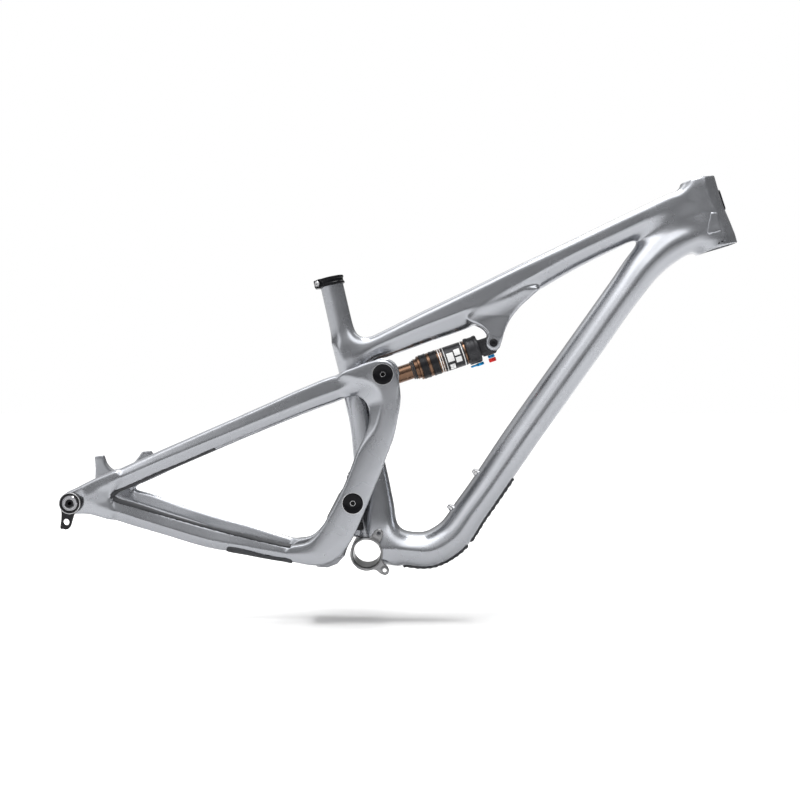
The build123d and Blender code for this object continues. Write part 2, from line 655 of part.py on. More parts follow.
with BuildPart() as chain_slap_guard:
    band = [(x, y, z + 1.2, *rest) for x, y, z, *rest in CHAINSTAY]
    add(other_side(tube(band, -1.0)))
    add(other_side(tube(CHAINSTAY)), mode=Mode.SUBTRACT)
    with BuildSketch(side_plane(0)):
        with BuildLine():
            Polyline((-370, 37), (-370, 48.5), (-120, 14), (-120, -3), (-220, 6), (-370, 37))
        make_face()
    extrude(amount=100, mode=Mode.INTERSECT)
finish(chain_slap_guard, "chain_slap_guard")

# =====================================================================
# Sliding carriage
# =====================================================================
with BuildPart() as slider_carriage:
    with Locations(pocket_base):
        Box(*CARRIAGE)
    with Locations(pocket_base.offset(-30)):
        with GridLocations(RAIL_SPACING, 1, 2, 1):
            Cylinder(BUSHING_R, 60, align=FROM_START, mode=Mode.SUBTRACT)
    for side in (-1, 1):
        add(side_bar(LOWER_PIVOT, STUB_R - 0.05, side, 22, 40), mode=Mode.SUBTRACT)
finish(slider_carriage, "slider_carriage")

with BuildPart() as carriage_bushings:
    for height in (-14, 6):
        with Locations(pocket_base.offset(height)):
            with GridLocations(RAIL_SPACING, 1, 2, 1):
                Cylinder(BUSHING_R, 8, align=FROM_START)
                Cylinder(
                    RAIL_R + RAIL_CLEARANCE, 8, align=FROM_START, mode=Mode.SUBTRACT
                )
finish(carriage_bushings, "carriage_bushings")

with BuildPart() as lower_pivot_bolts:
    add(pivot_bolts(LOWER_PIVOT, 22.0))
finish(lower_pivot_bolts, "lower_pivot_bolts")

# =====================================================================
# Shock, drawn along its own line from the rear eye to the front eye
# =====================================================================
shock_run = (cos(radians(SHOCK_TILT)), 0, sin(radians(SHOCK_TILT)))
shock_base = Plane(origin=(shock_eye[0], 0, shock_eye[1]), x_dir=(0, 1, 0), z_dir=shock_run)


def along_shock(distance, radius, length):
    """Round piece on the shock's line, starting a distance from the rear eye."""
    with BuildPart() as result:
        with Locations(shock_base.offset(distance)):
            Cylinder(radius, length, align=FROM_START)
    return result.part


EYE_BORE_R = EYE_PIN_R + EYE_CLEARANCE
EYE_OUTER_R = 13.0
# distances along the shock from its rear eye
SEAL_START = 57.5
CAN_START = 66.0
CAN_END = 142.0
SHAFT_END = 96.0
BAND_STARTS = (70.0, 86.0)
BAND_LENGTH = 11.0
LEVER_AT = 157.0
KNOB_AT = 176.0

with BuildPart() as shock_eyelet:
    add(cross_bar(shock_eye, EYE_OUTER_R, -12, 12))
    add(along_shock(8.0, SHAFT_R + 1.0, 6.5))
    add(cross_bar(shock_eye, EYE_BORE_R, -20, 20), mode=Mode.SUBTRACT)
finish(shock_eyelet, "shock_eyelet")

with BuildPart() as shock_shaft:
    add(along_shock(14.5, SHAFT_R, SHAFT_END - 14.5))
finish(shock_shaft, "shock_shaft")

with BuildPart() as shock_air_can:
    add(along_shock(SEAL_START + 3, SHAFT_R + 3.5, CAN_START - SEAL_START - 3))
    add(along_shock(CAN_START, CAN_R, CAN_END - CAN_START))
    add(along_shock(SEAL_START + 3, SHAFT_R + 0.5, CAN_START - SEAL_START - 3), mode=Mode.SUBTRACT)
    add(along_shock(CAN_START, SHAFT_R + 2.5, CAN_END - CAN_START - 3), mode=Mode.SUBTRACT)
    for start in BAND_STARTS:
        add(along_shock(start, CAN_R + 1, BAND_LENGTH), mode=Mode.SUBTRACT)
        add(along_shock(start - 0.5, CAN_R - 1.2, 12))
        add(along_shock(start - 1, SHAFT_R + 2.5, 13), mode=Mode.SUBTRACT)
finish(shock_air_can, "shock_air_can")

with BuildPart() as can_bands:
    for start in BAND_STARTS:
        add(along_shock(start, CAN_R + 0.6, BAND_LENGTH))
        add(along_shock(start - 1, CAN_R - 1.2, 13), mode=Mode.SUBTRACT)
finish(can_bands, "can_bands")

with BuildPart() as wiper_seal:
    add(along_shock(SEAL_START, SHAFT_R + 2.5, 3))
    add(along_shock(SEAL_START - 1, SHAFT_R + 0.05, 5), mode=Mode.SUBTRACT)
finish(wiper_seal, "wiper_seal")

with BuildPart() as sag_ring:
    add(along_shock(SEAL_START - 2.6, SHAFT_R + 1.6, 2.2))
    add(along_shock(SEAL_START - 4, SHAFT_R + 0.05, 6), mode=Mode.SUBTRACT)
finish(sag_ring, "sag_ring")

with BuildPart() as shock_head:
    add(along_shock(CAN_END, SHOCK_HEAD_R, 20))
    with Locations(shock_base.offset(170)):
        Box(23, 24, 30)
    add(cross_bar(SHOCK_FRONT, 12.0, -11.5, 11.5))
    # lower boss that carries the damping controls
    with Locations(shock_base.offset(KNOB_AT - 1)):
        with Locations((0, -12.6, 0)):
            Box(19, 5, 20)
    add(cross_bar(SHOCK_FRONT, 8.0, -20, 20), mode=Mode.SUBTRACT)
finish(shock_head, "shock_head")

with BuildPart() as shock_front_bushing:
    add(cross_bar(SHOCK_FRONT, 8.0, -11.5, 11.5))
    add(cross_bar(SHOCK_FRONT, 4.05, -20, 20), mode=Mode.SUBTRACT)
finish(shock_front_bushing, "shock_front_bushing")

with BuildPart() as air_valve_cap:
    add(bar(tuple(shock_base.from_local_coords((0, -15, 152))), (0, 1, 0), 5.0, 31.0))
    add(shock_head.part, mode=Mode.SUBTRACT)
finish(air_valve_cap, "air_valve_cap")

control_axis = (-shock_base.y_dir.X, 0, -shock_base.y_dir.Z)


def control(offset_along, start, radius, length):
    """Round control standing out of the lower boss of the shock head."""
    return bar(tuple(shock_base.from_local_coords((0, -start, offset_along))), control_axis, radius, length)


with BuildPart() as compression_lever:
    add(control(LEVER_AT, 21.3, 5.5, 4.6))
    lever_origin = shock_base.from_local_coords((0, -22.0, LEVER_AT))
    with BuildSketch(Plane(origin=lever_origin, x_dir=shock_run, z_dir=control_axis)):
        with Locations((-7, 3)):
            RectangleRounded(17, 7, 3, rotation=-20)
    extrude(amount=3.4)
finish(compression_lever, "compression_lever")

with BuildPart() as low_speed_knob:
    add(control(KNOB_AT, 15.3, 5.2, 4.8))
finish(low_speed_knob, "low_speed_knob")

with BuildPart() as rebound_knob:
    add(control(KNOB_AT, 20.4, 5.7, 6.2))
finish(rebound_knob, "rebound_knob")
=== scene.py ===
import json
import math

import bmesh
import bpy
import numpy as np
import openvdb
from mathutils import Matrix, Vector


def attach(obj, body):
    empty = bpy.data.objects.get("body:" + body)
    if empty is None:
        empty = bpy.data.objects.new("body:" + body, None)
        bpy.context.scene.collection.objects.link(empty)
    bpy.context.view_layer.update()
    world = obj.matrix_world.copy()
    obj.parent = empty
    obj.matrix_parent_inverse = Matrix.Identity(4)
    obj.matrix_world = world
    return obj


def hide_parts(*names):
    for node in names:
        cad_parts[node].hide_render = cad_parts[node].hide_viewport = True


# Full-suspension bicycle frame.  The moulded carbon is made as smooth skins: each tube, plate and
# bore is a signed distance, in millimetres, and the skin is the surface where they add up to zero.
# Frame points are (x, z), because the frame lies along the XZ plane; y is to the left.

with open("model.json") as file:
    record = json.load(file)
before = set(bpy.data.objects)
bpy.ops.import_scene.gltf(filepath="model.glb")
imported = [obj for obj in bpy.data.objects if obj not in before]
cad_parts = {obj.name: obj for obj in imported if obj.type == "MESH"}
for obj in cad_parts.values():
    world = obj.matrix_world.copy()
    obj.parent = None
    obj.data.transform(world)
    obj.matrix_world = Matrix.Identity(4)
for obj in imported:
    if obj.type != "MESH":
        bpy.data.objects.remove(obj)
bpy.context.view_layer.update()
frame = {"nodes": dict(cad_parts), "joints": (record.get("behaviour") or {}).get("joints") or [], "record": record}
MM = 0.001
ANCHORS = {joint["name"]: joint["pos_m"] for joint in frame["joints"] if "pos_m" in joint}


def pivot(joint):
    """Where a joint's axis crosses the frame's middle plane, in millimetres."""
    x, _, z = ANCHORS[joint]
    return (x / MM, z / MM)


LINK_PIVOT = pivot("link_pivot")
UPPER_PIVOT = pivot("swingarm_pivot")
LOWER_PIVOT = pivot("slider_pivot")
SHOCK_FRONT = pivot("shock_front_pivot")
REAR_AXLE = (-435.0, 34.0)
SHOCK_TILT = 24.6
SHOCK_LENGTH = 184.0
ARM_INNER = 36.0
ARM_OUTER = 58.0
CREASE_EDGE = 2.2
TUBE_END_EDGE = 4.0
FAR_SQUARED = 1e12


# ---- Curves ----
def turn(angle, distance, start=(0.0, 0.0)):
    """Point at a distance from start, at an angle in degrees above +X."""
    angle = math.radians(angle)
    return (start[0] + distance * math.cos(angle), start[1] + distance * math.sin(angle))


def arc(centre, radius, angles):
    """Points round a centre."""
    return [turn(angle, radius, centre) for angle in angles]


def in_plane(point):
    """A point or direction in the frame's middle plane as three numbers."""
    return (point[0], 0, point[1])


def smooth_rows(rows, spacing=5.0, wrap=0):
    """Rows of numbers joined by smooth curves, spaced along the line of their first two columns.
    With wrap, that many rows at each end only shape the curve's ends."""
    rows = np.array(rows, float)
    reach = np.r_[0, np.cumsum(np.hypot(*np.diff(rows[:, :2], axis=0).T))]
    slopes = np.gradient(rows, reach, axis=0)
    start, end = reach[wrap], reach[len(rows) - 1 - wrap]
    at = np.linspace(start, end, int((end - start) / spacing) + 2)
    k = np.clip(np.searchsorted(reach, at, side="right") - 1, 0, len(rows) - 2)
    gap = (reach[k + 1] - reach[k])[:, None]
    t = (at - reach[k])[:, None] / gap
    near = (2 * t**3 - 3 * t**2 + 1) * rows[k] + (t**3 - 2 * t**2 + t) * gap * slopes[k]
    return near + (3 * t**2 - 2 * t**3) * rows[k + 1] + (t**3 - t**2) * gap * slopes[k + 1]


def closed_curve(points, spacing=4.0, softening=0):
    """Smooth closed outline through points, evened out by a number of softening passes."""
    points = [tuple(p) for p in points]
    curve = smooth_rows(points[-3:] + points + points[:4], spacing, wrap=3)[:-1]
    for _ in range(softening):
        curve = curve / 2 + (np.roll(curve, 1, axis=0) + np.roll(curve, -1, axis=0)) / 4
    return curve


def nearest(line, x, z):
    """For each point: its place along a polyline, its distance to the left and how far it is past the ends,
    at least -20."""
    shape = np.broadcast(x, z).shape
    best = np.full(shape, FAR_SQUARED, np.float32)
    place, offset, past = (np.zeros(shape, np.float32) for _ in range(3))
    last = len(line) - 2
    for i, (a, b) in enumerate(zip(line[:-1], line[1:])):
        dx, dz = b - a
        length = math.hypot(dx, dz)
        t = ((x - a[0]) * dx + (z - a[1]) * dz) / length**2
        on = np.clip(t, 0, 1)
        away = (x - a[0] - on * dx) ** 2 + (z - a[1] - on * dz) ** 2
        side = (dx * (z - a[1]) - dz * (x - a[0])) / length
        beyond = np.full(shape, -20.0, np.float32)
        if i == 0:
            beyond = np.maximum(beyond, -t * length)
        if i == last:
            beyond = np.maximum(beyond, (t - 1) * length)
        closer = away < best
        best = np.where(closer, away, best)
        place = np.where(closer, i + on, place)
        offset = np.where(closer, np.where(beyond > 0, side, np.sign(side) * np.sqrt(away)), offset)
        past = np.where(closer, beyond, past)
    return place, offset, past


def outline_distance(points, x, z):
    """Distance outside a closed outline, negative inside."""
    best = np.full(np.broadcast(x, z).shape, FAR_SQUARED, np.float32)
    inside = np.zeros(best.shape, bool)
    for a, b in zip(points, np.roll(points, -1, axis=0)):
        dx, dz = b - a
        on = np.clip(((x - a[0]) * dx + (z - a[1]) * dz) / (dx * dx + dz * dz), 0, 1)
        best = np.minimum(best, (x - a[0] - on * dx) ** 2 + (z - a[1] - on * dz) ** 2)
        crosses = ((a[1] > z) != (b[1] > z)) & (x < dx * (z - a[1]) / (dz if dz else 1e-9) + a[0])
        inside ^= crosses
    return np.sqrt(best) * np.where(inside, -1, 1)


# ---- Distances ----
def join(a, b, k):
    """The smaller distance, with a fillet about k wide."""
    return np.minimum(a, b) - np.maximum(k - np.abs(a - b), 0) ** 2 / (4 * k)


def meet(a, b, k):
    """The larger distance, with a rounded edge about k wide."""
    return np.maximum(a, b) + np.maximum(k - np.abs(a - b), 0) ** 2 / (4 * k)


def space_round(points, reach, y_low, y_high):
    """Low and high corners of the space round points (x, z)."""
    low, high = points.min(0) - reach, points.max(0) + reach
    return (low[0], y_low, low[1]), (high[0], y_high, high[1])


def tube(stations, crown, side=0):
    """Creased tube: rows of (x, z, y, depth, width, crease, left tilt, right tilt).  Left and right are
    those of the run, seen with +X to the right and +Z up.  The crease lies to the left of the middle by a
    share of the half depth, and the tilts lean the facets beside it in, in degrees."""
    line = smooth_rows(stations)
    steps = np.arange(len(line))

    def distance(x, y, z):
        place, height, past = nearest(line[:, :2], x, z)
        row = [np.interp(place, steps, line[:, i]).astype(np.float32) for i in range(2, 8)]
        across = np.abs((y * side if side else y) - row[0])
        half_depth, half_width = row[1] / 2, row[2] / 2
        rise = height - row[3] * half_depth
        left_tilt, right_tilt = np.radians(row[4]), np.radians(row[5])
        left = (across - half_width) * np.cos(left_tilt) + rise * np.sin(left_tilt)
        right = (across - half_width) * np.cos(right_tilt) - rise * np.sin(right_tilt)
        body = meet(meet(left, right, CREASE_EDGE), np.abs(height) - half_depth, crown)
        return meet(body, past - 0.5, TUBE_END_EDGE)

    y_low, y_high = (line[:, 2] - line[:, 4] / 2).min() - 6, (line[:, 2] + line[:, 4] / 2).max() + 6
    if side < 0:
        y_low, y_high = -y_high, -y_low
    return distance, *space_round(line[:, :2], line[:, 3].max() / 2 + 8, y_low, y_high)


def oval_tube(stations):
    """Tube with an oval section: rows of (x, z, depth, width, squareness)."""
    line = smooth_rows(stations)
    steps = np.arange(len(line))

    def distance(x, y, z):
        place, height, past = nearest(line[:, :2], x, z)
        deep, wide, power = (np.interp(place, steps, line[:, i]).astype(np.float32) for i in (2, 3, 4))
        deep, wide = deep / 2, wide / 2
        reach = (np.abs(height / deep) ** power + np.abs(y / wide) ** power) ** (1 / power)
        return meet((reach - 1) * np.minimum(deep, wide), past - 0.2, TUBE_END_EDGE)

    wide = line[:, 3].max() / 2 + 6
    return distance, *space_round(line[:, :2], line[:, 2].max() / 2 + 8, -wide, wide)


def plate(points, low, high, edge=3.0):
    """Plate with a closed outline, between two heights across the frame."""
    points = np.array(points, float)
    middle, half = (low + high) / 2, (high - low) / 2

    def distance(x, y, z):
        return meet(outline_distance(points, x, z), np.abs(y - middle) - half, edge)

    return distance, *space_round(points, 8, low - 8, high + 8)


def cross_bar(centre, radius, low, high, edge=1.0):
    """Round bar across the frame."""
    middle, half = (low + high) / 2, (high - low) / 2

    def distance(x, y, z):
        return meet(np.hypot(x - centre[0], z - centre[1]) - radius, np.abs(y - middle) - half, edge)

    return distance, *space_round(np.array([centre]), radius + 8, low - 8, high + 8)


def lean_bar(start, run, rings, edge=1.0):
    """Round bar in the middle plane from a point along a run, with rings of (height, radius)."""
    heights, radii = zip(*rings)

    def distance(x, y, z):
        along = (x - start[0]) * run[0] + (z - start[1]) * run[1]
        away = (x - start[0]) * run[1] - (z - start[1]) * run[0]
        radius = np.interp(along, heights, radii).astype(np.float32)
        ends = np.maximum(heights[0] - along, along - heights[-1])
        return meet(np.hypot(away, y) - radius, ends, edge)

    tips = np.array([start, (start[0] + run[0] * heights[-1], start[1] + run[1] * heights[-1])])
    reach = max(radii) + 8
    return distance, *space_round(tips, reach, -reach, reach)


def lean_box(centre, lean, size, edge=1.0):
    """Box (fore and aft, across, up) turned back by an angle in degrees."""
    c, s = math.cos(math.radians(lean)), math.sin(math.radians(lean))

    def distance(x, y, z):
        along = (x - centre[0]) * c + (z - centre[1]) * s
        up = (z - centre[1]) * c - (x - centre[0]) * s
        flat = meet(np.abs(along) - size[0] / 2, np.abs(up) - size[2] / 2, edge)
        return meet(flat, np.abs(y) - size[1] / 2, edge)

    wide = size[1] / 2 + 8
    return distance, *space_round(np.array([centre]), (size[0] + size[2]) / 2 + 8, -wide, wide)


def ridge(points, radius):
    """Thin raised line through 3-D points."""
    points = np.array(points, float)

    def distance(x, y, z):
        best = 1e9
        for a, b in zip(points[:-1], points[1:]):
            run = b - a
            from_a = (x - a[0], y - a[1], z - a[2])
            on = np.clip(sum(gap * step for gap, step in zip(from_a, run)) / (run @ run), 0, 1)
            best = np.minimum(best, sum((gap - on * step) ** 2 for gap, step in zip(from_a, run)))
        return np.sqrt(best) - radius

    return distance, tuple(points.min(0) - radius - 6), tuple(points.max(0) + radius + 6)


class Block:
    """A block of space, in millimetres, that holds how far each of its points is outside a solid."""

    def __init__(self, low, high, step):
        self.low, self.step = np.array(low, float), step
        counts = np.ceil((np.array(high) - self.low) / step).astype(int) + 1
        self.axes = [(self.low[i] + step * np.arange(n)).astype(np.float32) for i, n in enumerate(counts)]
        self.far = np.full(counts, 30.0, np.float32)

    def window(self, low, high):
        """The part of the block between two corners, and its x, y and z."""
        cut = tuple(slice(*np.searchsorted(axis, (low[i], high[i]))) for i, axis in enumerate(self.axes))
        x, y, z = (axis[part] for axis, part in zip(self.axes, cut))
        return cut, x[:, None, None], y[None, :, None], z[None, None, :]

    def add(self, shape, blend=1.0):
        cut, x, y, z = self.window(*(np.array(shape[1:]) + [[-blend], [blend]]))
        self.far[cut] = join(self.far[cut], shape[0](x, y, z), blend)

    def cut(self, shape, blend=1.0):
        cut, x, y, z = self.window(*(np.array(shape[1:]) + [[-blend], [blend]]))
        self.far[cut] = meet(self.far[cut], -shape[0](x, y, z), blend)

    def around(self, low, high):
        """A copy of part of the block."""
        cut = self.window(low, high)[0]
        piece = Block(low, high, self.step)
        piece.axes = [axis[part] for axis, part in zip(self.axes, cut)]
        piece.low = np.array([axis[0] for axis in piece.axes], float)
        piece.far = self.far[cut].copy()
        return piece


# ---- Meshes ----
def sample(field, points):
    """Values of a field between its grid points."""
    base = np.clip(np.floor(points).astype(int), 0, np.array(field.shape) - 2)
    part = points - base
    total = 0
    for corner in np.ndindex(2, 2, 2):
        weight = np.prod(np.where(corner, part, 1 - part), axis=1)
        total = total + weight * field[tuple((base + corner).T)]
    return total


def settle(field, points):
    """Moves points towards the surface where a field is zero."""
    halves = np.eye(3) / 2
    slope = np.stack([sample(field, points + half) - sample(field, points - half) for half in halves], axis=1)
    push = sample(field, points)[:, None] * slope / np.maximum((slope**2).sum(1, keepdims=True), 1e-3)
    return points - np.clip(push, -0.7, 0.7)


def place_piece(mesh, name, material, body, replaced=(), smooth_angle=None):
    """Makes an object of a mesh, gives it its finish and its body, and hides the nodes that it stands for."""
    mesh.shade_smooth()
    if smooth_angle:
        mesh.set_sharp_from_angle(angle=math.radians(smooth_angle))
    mesh.materials.append(material)
    piece = bpy.data.objects.new(name, mesh)
    bpy.context.scene.collection.objects.link(piece)
    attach(piece, body)
    if replaced:
        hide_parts(*replaced)
    return piece


def relax(points, quads):
    """Moves each point halfway to the middle of its neighbours."""
    pairs = np.concatenate([quads[:, [0, 1]], quads[:, [1, 2]], quads[:, [2, 3]], quads[:, [3, 0]]])
    pairs = np.concatenate([pairs, pairs[:, ::-1]])
    count = np.maximum(np.bincount(pairs[:, 0], minlength=len(points)), 1)
    total = np.stack(
        [np.bincount(pairs[:, 0], points[pairs[:, 1], i], len(points)) for i in range(3)], axis=1)
    return (points + total / count[:, None]) / 2


def skin(block, name, material, body, replaced=(), matrix=None):
    """Surface of the solid in a block, as a smooth mesh in metres."""
    band = 3 * block.step
    grid = openvdb.FloatGrid(band)
    grid.copyFromArray(np.clip(block.far, -band, band).astype(np.float32))
    points, _, quads = grid.convertToPolygons(isovalue=0.0, adaptivity=0.0)
    points = points.astype(float)
    for _ in range(3):
        points = settle(block.far / block.step, relax(points, quads))
    points = (block.low + points * block.step) * MM
    mesh = bpy.data.meshes.new(name)
    mesh.from_pydata(points.tolist(), [], quads.tolist())
    if matrix is not None:
        mesh.transform(matrix)
    biggest_only(mesh)
    return place_piece(mesh, name, material, body, replaced)


def biggest_only(mesh, share=0.02):
    """Deletes specks: loose shells with less than a share of the vertices."""
    form = bmesh.new()
    form.from_mesh(mesh)
    seen, specks = set(), []
    for first in form.verts:
        if first in seen:
            continue
        shell, queue = [first], [first]
        seen.add(first)
        while queue:
            vert = queue.pop()
            for other in [edge.other_vert(vert) for edge in vert.link_edges]:
                if other not in seen:
                    seen.add(other)
                    shell.append(other)
                    queue.append(other)
        if len(shell) < share * len(form.verts):
            specks += shell
    bmesh.ops.delete(form, geom=specks, context="VERTS")
    form.to_mesh(mesh)
    form.free()


def turned(origin, axis, profile, segments=128, closed=False, lobes=0, lobe_depth=0.0):
    """Mesh turned from a profile of (radius, height) in millimetres about an axis from an origin.
    An open profile is closed on the axis.  Lobes make a knurled rim, and a third number in a row of the
    profile gives it that many flat sides."""
    form = bmesh.new()
    rings = []
    for radius, height, *sides in profile:
        ring = []
        for i in range(segments):
            angle = 2 * math.pi * i / segments
            reach = radius - (lobe_depth * max(0.0, math.cos(lobes * angle)) ** 2 if lobes else 0.0)
            if sides:
                flat = math.pi / sides[0]
                reach = radius * math.cos(flat) / math.cos(angle % (2 * flat) - flat)
            ring.append(form.verts.new((reach * math.cos(angle), reach * math.sin(angle), height)))
        rings.append(ring)
    pairs = list(zip(rings, rings[1:]))
    if closed:
        pairs.append((rings[-1], rings[0]))
    else:
        form.faces.new(rings[0])
        form.faces.new(rings[-1])
    for low, high in pairs:
        for i in range(segments):
            j = (i + 1) % segments
            form.faces.new((low[i], low[j], high[j], high[i]))
    bmesh.ops.recalc_face_normals(form, faces=form.faces)
    mesh = bpy.data.meshes.new("turned")
    form.to_mesh(mesh)
    form.free()
    turn_to = Vector((0, 0, 1)).rotation_difference(Vector(axis)).to_matrix().to_4x4()
    mesh.transform(Matrix.Scale(MM, 4) @ Matrix.Translation(origin) @ turn_to)
    return mesh


def bore(piece, cutters, smooth_angle=40):
    """Cuts machined holes into a piece: cutters are closed meshes."""
    for mesh in cutters:
        tool = bpy.data.objects.new("cutter", mesh)
        bpy.context.scene.collection.objects.link(tool)
        hole = piece.modifiers.new("hole", "BOOLEAN")
        hole.object = tool
        hole.solver = "EXACT"
        bpy.context.view_layer.update()
        cut = bpy.data.meshes.new_from_object(piece.evaluated_get(bpy.context.evaluated_depsgraph_get()))
        piece.modifiers.clear()
        piece.data = cut
        bpy.data.objects.remove(tool)
    piece.data.set_sharp_from_angle(angle=math.radians(smooth_angle))


def lathe(name, material, body, spots, profile, replaced=(), closed=False, segments=96, lobes=0,
          lobe_depth=0.0):
    """Turned piece, repeated at each spot (origin, axis)."""
    form = bmesh.new()
    for origin, axis in spots:
        form.from_mesh(turned(origin, axis, profile, segments, closed, lobes, lobe_depth))
    mesh = bpy.data.meshes.new(name)
    form.to_mesh(mesh)
    form.free()
    return place_piece(mesh, name, material, body, replaced, smooth_angle=32)


def at(centre, side=-1):
    """Spot on the middle plane, facing the right by default."""
    return (in_plane(centre), (0, side, 0))


def both_sides(centre):
    """Two spots on the middle plane, facing the right and the left."""
    return [at(centre, -1), at(centre, 1)]


# ---- Materials ----
NOISE_SPAN = (0.3, 0.7)  # where most of a noise's values lie


def new_material(name, colour, metallic, roughness, coat=0.0, specular=0.5):
    material = bpy.data.materials.new(name)
    material.use_nodes = True
    shader = material.node_tree.nodes["Principled BSDF"]
    shader.inputs["Base Color"].default_value = (*colour, 1)
    shader.inputs["Metallic"].default_value = metallic
    shader.inputs["Roughness"].default_value = roughness
    shader.inputs["Specular IOR Level"].default_value = specular
    shader.inputs["Coat Weight"].default_value = coat
    shader.inputs["Coat Roughness"].default_value = 0.12
    return material, shader


def node(owner, kind, **values):
    """New shader node of a material or world, with values for its inputs and settings."""
    made = owner.node_tree.nodes.new(kind)
    for key, value in values.items():
        if key in made.inputs:
            made.inputs[key].default_value = value
        else:
            setattr(made, key, value)
    return made


def noise(material, scale):
    """Noise over the object's own coordinates, in metres."""
    place = node(material, "ShaderNodeTexCoord")
    texture = node(material, "ShaderNodeTexNoise", Scale=scale, Detail=3.0)
    material.node_tree.links.new(place.outputs["Object"], texture.inputs["Vector"])
    return texture.outputs["Fac"]


def spread(owner, source, start, end, low, high):
    """A value that goes from low to high as a source goes from start to end."""
    values = {"From Min": start, "From Max": end, "To Min": low, "To Max": high}
    scaled = node(owner, "ShaderNodeMapRange", **values)
    owner.node_tree.links.new(source, scaled.inputs["Value"])
    return scaled.outputs["Result"]


def tint(material, source, dark, light):
    """A colour between dark and light from a noise."""
    ramp = node(material, "ShaderNodeValToRGB")
    for element, position, colour in zip(ramp.color_ramp.elements, NOISE_SPAN, (dark, light)):
        element.position, element.color = position, (*colour, 1)
    material.node_tree.links.new(source, ramp.inputs["Fac"])
    return ramp.outputs["Color"]


def finish_of(name, dark, light, metallic, roughness, grain, relief, coat=0.0, specular=0.5):
    """A finish with fine grain: colour between dark and light, roughness (low, high), noise per metre."""
    material, shader = new_material(name, light, metallic, roughness[1], coat, specular)
    fine = noise(material, grain)
    bumps = node(material, "ShaderNodeBump", Strength=relief, Distance=0.4 * MM)
    link = material.node_tree.links.new
    link(tint(material, fine, dark, light), shader.inputs["Base Color"])
    link(spread(material, noise(material, 22.0), *NOISE_SPAN, *roughness), shader.inputs["Roughness"])
    link(fine, bumps.inputs["Height"])
    link(bumps.outputs["Normal"], shader.inputs["Normal"])
    return material


paint = finish_of("silver_paint", (0.290, 0.298, 0.318), (0.330, 0.339, 0.361), 0.94, (0.24, 0.29), 2600,
                  0.01, coat=0.1)
alloy = finish_of("machined_alloy", (0.17, 0.17, 0.175), (0.25, 0.25, 0.255), 1.0, (0.26, 0.38), 1400, 0.06)
chrome = finish_of("polished_steel", (0.24, 0.24, 0.25), (0.33, 0.33, 0.345), 1.0, (0.10, 0.18), 900, 0.02)
steel = finish_of("bearing_steel", (0.45, 0.45, 0.46), (0.58, 0.58, 0.59), 1.0, (0.22, 0.32), 1200, 0.04)
black = finish_of("black_anodised", (0.006, 0.006, 0.007), (0.013, 0.013, 0.015), 0.1, (0.26, 0.38), 1800,
                  0.05, specular=0.2)
gloss_black = finish_of("gloss_black", (0.003, 0.003, 0.004), (0.006, 0.006, 0.007), 0.0, (0.18, 0.26), 900,
                        0.02, specular=0.1)
head_black = finish_of("shock_black", (0.016, 0.016, 0.018), (0.030, 0.030, 0.034), 0.45, (0.34, 0.46), 2200,
                       0.10, specular=0.4)
rubber = finish_of("guard_rubber", (0.022, 0.023, 0.026), (0.042, 0.043, 0.047), 0.0, (0.55, 0.72), 1500,
                   0.25, specular=0.3)
gold = finish_of("gold_coat", (0.115, 0.066, 0.042), (0.165, 0.098, 0.064), 0.95, (0.20, 0.30), 1600, 0.04)
plastic = finish_of("bushing_plastic", (0.10, 0.10, 0.09), (0.16, 0.16, 0.14), 0.0, (0.45, 0.60), 900, 0.10)
blue = finish_of("blue_anodised", (0.0, 0.18, 0.42), (0.01, 0.27, 0.58), 0.7, (0.22, 0.32), 1500, 0.04)
red = finish_of("red_anodised", (0.45, 0.010, 0.010), (0.62, 0.022, 0.018), 0.7, (0.22, 0.32), 1500, 0.04)
white_label = finish_of("label_white", (0.60, 0.60, 0.60), (0.74, 0.74, 0.74), 0.0, (0.30, 0.40), 900, 0.02)

SLOT_FINISH = {
    "frame_paint": paint, "bare_alloy": alloy, "rubber": rubber, "black_anodised": black, "steel": steel,
    "gold_coat": gold, "bushing_plastic": plastic, "blue_anodised": blue, "red_anodised": red,
}
node_slots = {n["node"]: n["material_slot"] for n in frame["record"]["subparts"]}
for node_name, cad_object in frame["nodes"].items():
    cad_object.data.materials.clear()
    cad_object.data.materials.append(SLOT_FINISH[node_slots[node_name]])

# ---- Front triangle ----
HEAD_TOP, HEAD_BOTTOM = (440.0, 612.0), (480.0, 512.0)
HEAD_LENGTH = math.dist(HEAD_TOP, HEAD_BOTTOM)
HEAD_RUN = tuple((top - bottom) / HEAD_LENGTH for top, bottom in zip(HEAD_TOP, HEAD_BOTTOM))
HEAD_RINGS = ((0, 30.8), (14, 30.8), (32, 29.0), (52, 26.4), (88, 24.9), (HEAD_LENGTH, 24.9))
SEAT_TOP, SEAT_RUN = (-98.4, 403.0), (0.3239, -0.9461)
SHELL_WIDTH, SHELL_R = 92.0, 24.5
HEADSET_DEPTH = 14.0
SEATPOST_R, SEATPOST_DEPTH = 15.8, 235.0
RAIL_LEAN = 6.0

# (x, z, depth, width, squareness)
SEAT_TUBE = (
    (-98.4, 403, 34.6, 34.6, 2), (-84, 361, 34.7, 34.6, 2), (-68, 314, 35.5, 34.8, 2),
    (-52, 268, 37, 35, 2.1), (-38, 226, 39, 36, 2.2), (-24, 185, 42, 37, 2.4), (-11, 134, 47, 39, 2.6),
    (1, 90, 52, 46, 2.6), (10, 50, 56, 58, 2.6), (14, 16, 48, 66, 2.6), (14, 0, 40, 66, 2.6),
)
